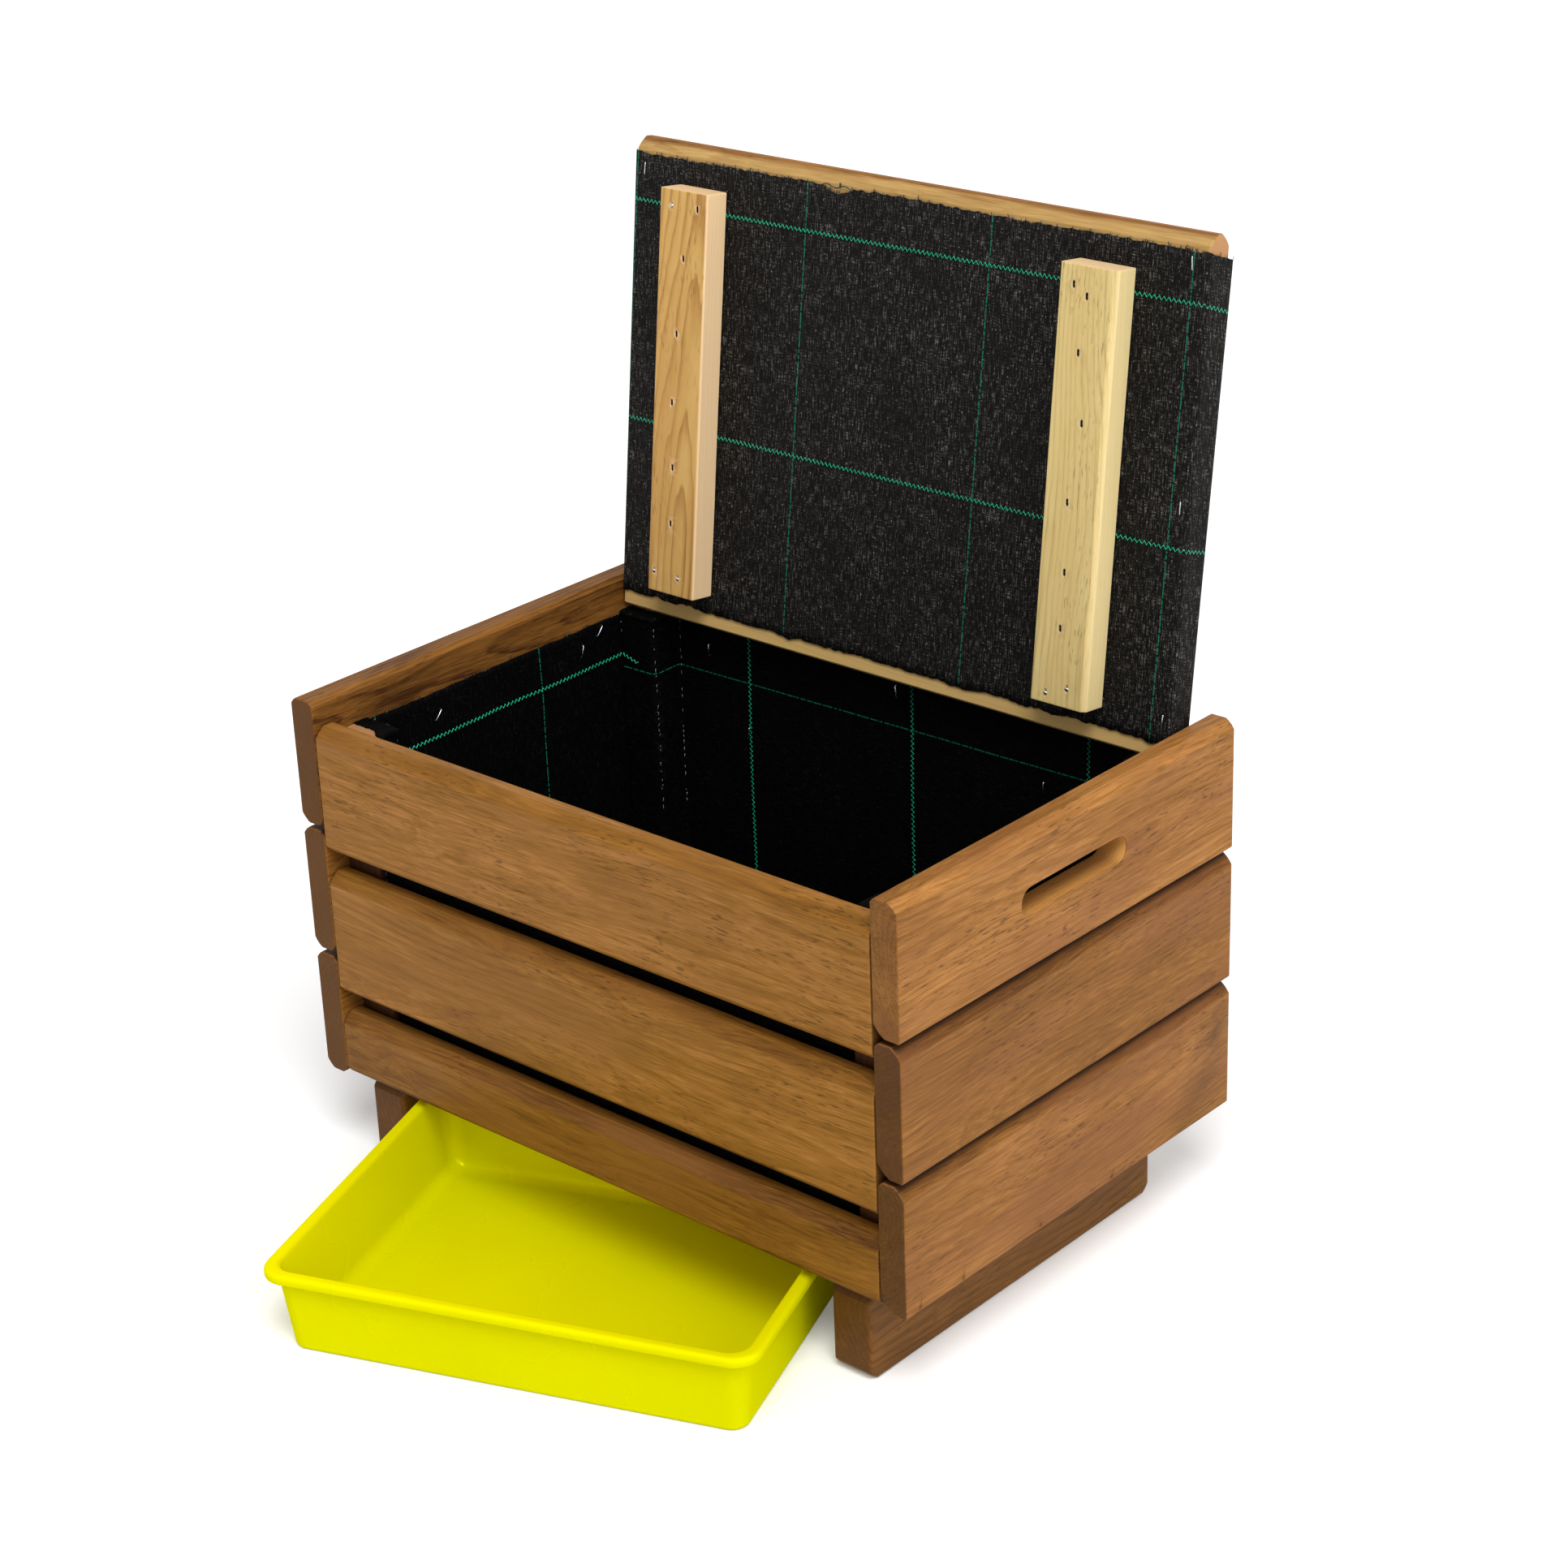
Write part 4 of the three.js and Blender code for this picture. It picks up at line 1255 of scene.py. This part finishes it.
def tray():
    top = tray_size.z
    foot = tray_rim + tray_taper
    round_top = top - tray_rim_round
    profile = arc((foot + tray_foot_round, tray_foot_round), tray_foot_round, 270, 180 + tray_lean)
    profile += arc((tray_rim - tray_lip_round, top - tray_wall - tray_lip_round), tray_lip_round, 0, 90, 2)
    profile += [(tray_wall, top - tray_wall - 0.0008), (tray_wall, top - tray_lip_drop)]
    profile += arc((tray_wall / 2, top - tray_lip_drop + 0.0007), tray_wall / 2, 0, -180, 4)
    profile += arc((tray_rim_round, round_top), tray_rim_round, 180, 90, 7)
    profile += arc((tray_rim + tray_wall - tray_rim_round, round_top), tray_rim_round, 90, 6)
    profile += arc((foot + tray_wall + tray_fillet, tray_wall + tray_fillet), tray_fillet,
                   180 + tray_lean, 270, 8)
    profile = [(profile[0][0] + held_level, 0.0)] + profile + [(profile[-1][0] + held_level, tray_wall)]
    held = profile[:1]
    for start, end in zip(profile, profile[1:]):
        start, end = Vector(start), Vector(end)
        long = (end - start).length
        if long > tray_held:
            held += [start.lerp(end, held_level / long), start.lerp(end, 1 - held_level / long)]
        held.append(end)
    rings = []
    for inset, z in held:
        corners = (tray_corner - inset / 2,) * 4
        outline = rounded_ring(tray_size.x - 2 * inset, tray_size.y - 2 * inset, corners, 10, (8, 6))
        rings.append([Vector((point.x, point.y, z)) for point in outline])
    piece = as_piece("lime_tray", loft(rings), tray_place, crease=50)
    material, tree, shader = new_material("lime_plastic")
    place = add(tree, "ShaderNodeTexCoord").outputs["Object"]
    cloudy = noisy(tree, place, (7.0, 7.0, 7.0), 3.0)
    skin = noisy(tree, place, (900.0, 900.0, 900.0), 1.0)
    colour = blended(tree, stretched(tree, cloudy, 0.35, 0.7), lime, lime_deep)
    # Painted light: the tray glows lime where it is open to the sky and less under the box.
    painted_glow_where_open = add(tree, "ShaderNodeAmbientOcclusion", {"Distance": 0.24}, samples=8).outputs["AO"]
    feed(shader, {
        "Base Color": colour, "Metallic": 0.14, "Specular IOR Level": 0.0,
        "Roughness": stretched(tree, cloudy, 0.3, 0.7, 0.24, 0.32),
        "Specular Tint": (1.0, 0.95, 0.12, 1.0), "Emission Color": lime_painted_glow,
        "Emission Strength": maths(tree, "MULTIPLY", painted_glow_where_open, 0.45),
        "Normal": raised(tree, skin, 0.08, 0.0002),
    })
    piece.data.materials.append(material)
    fit(piece, "tray_body", "lime_plastic", "tray")


tray()
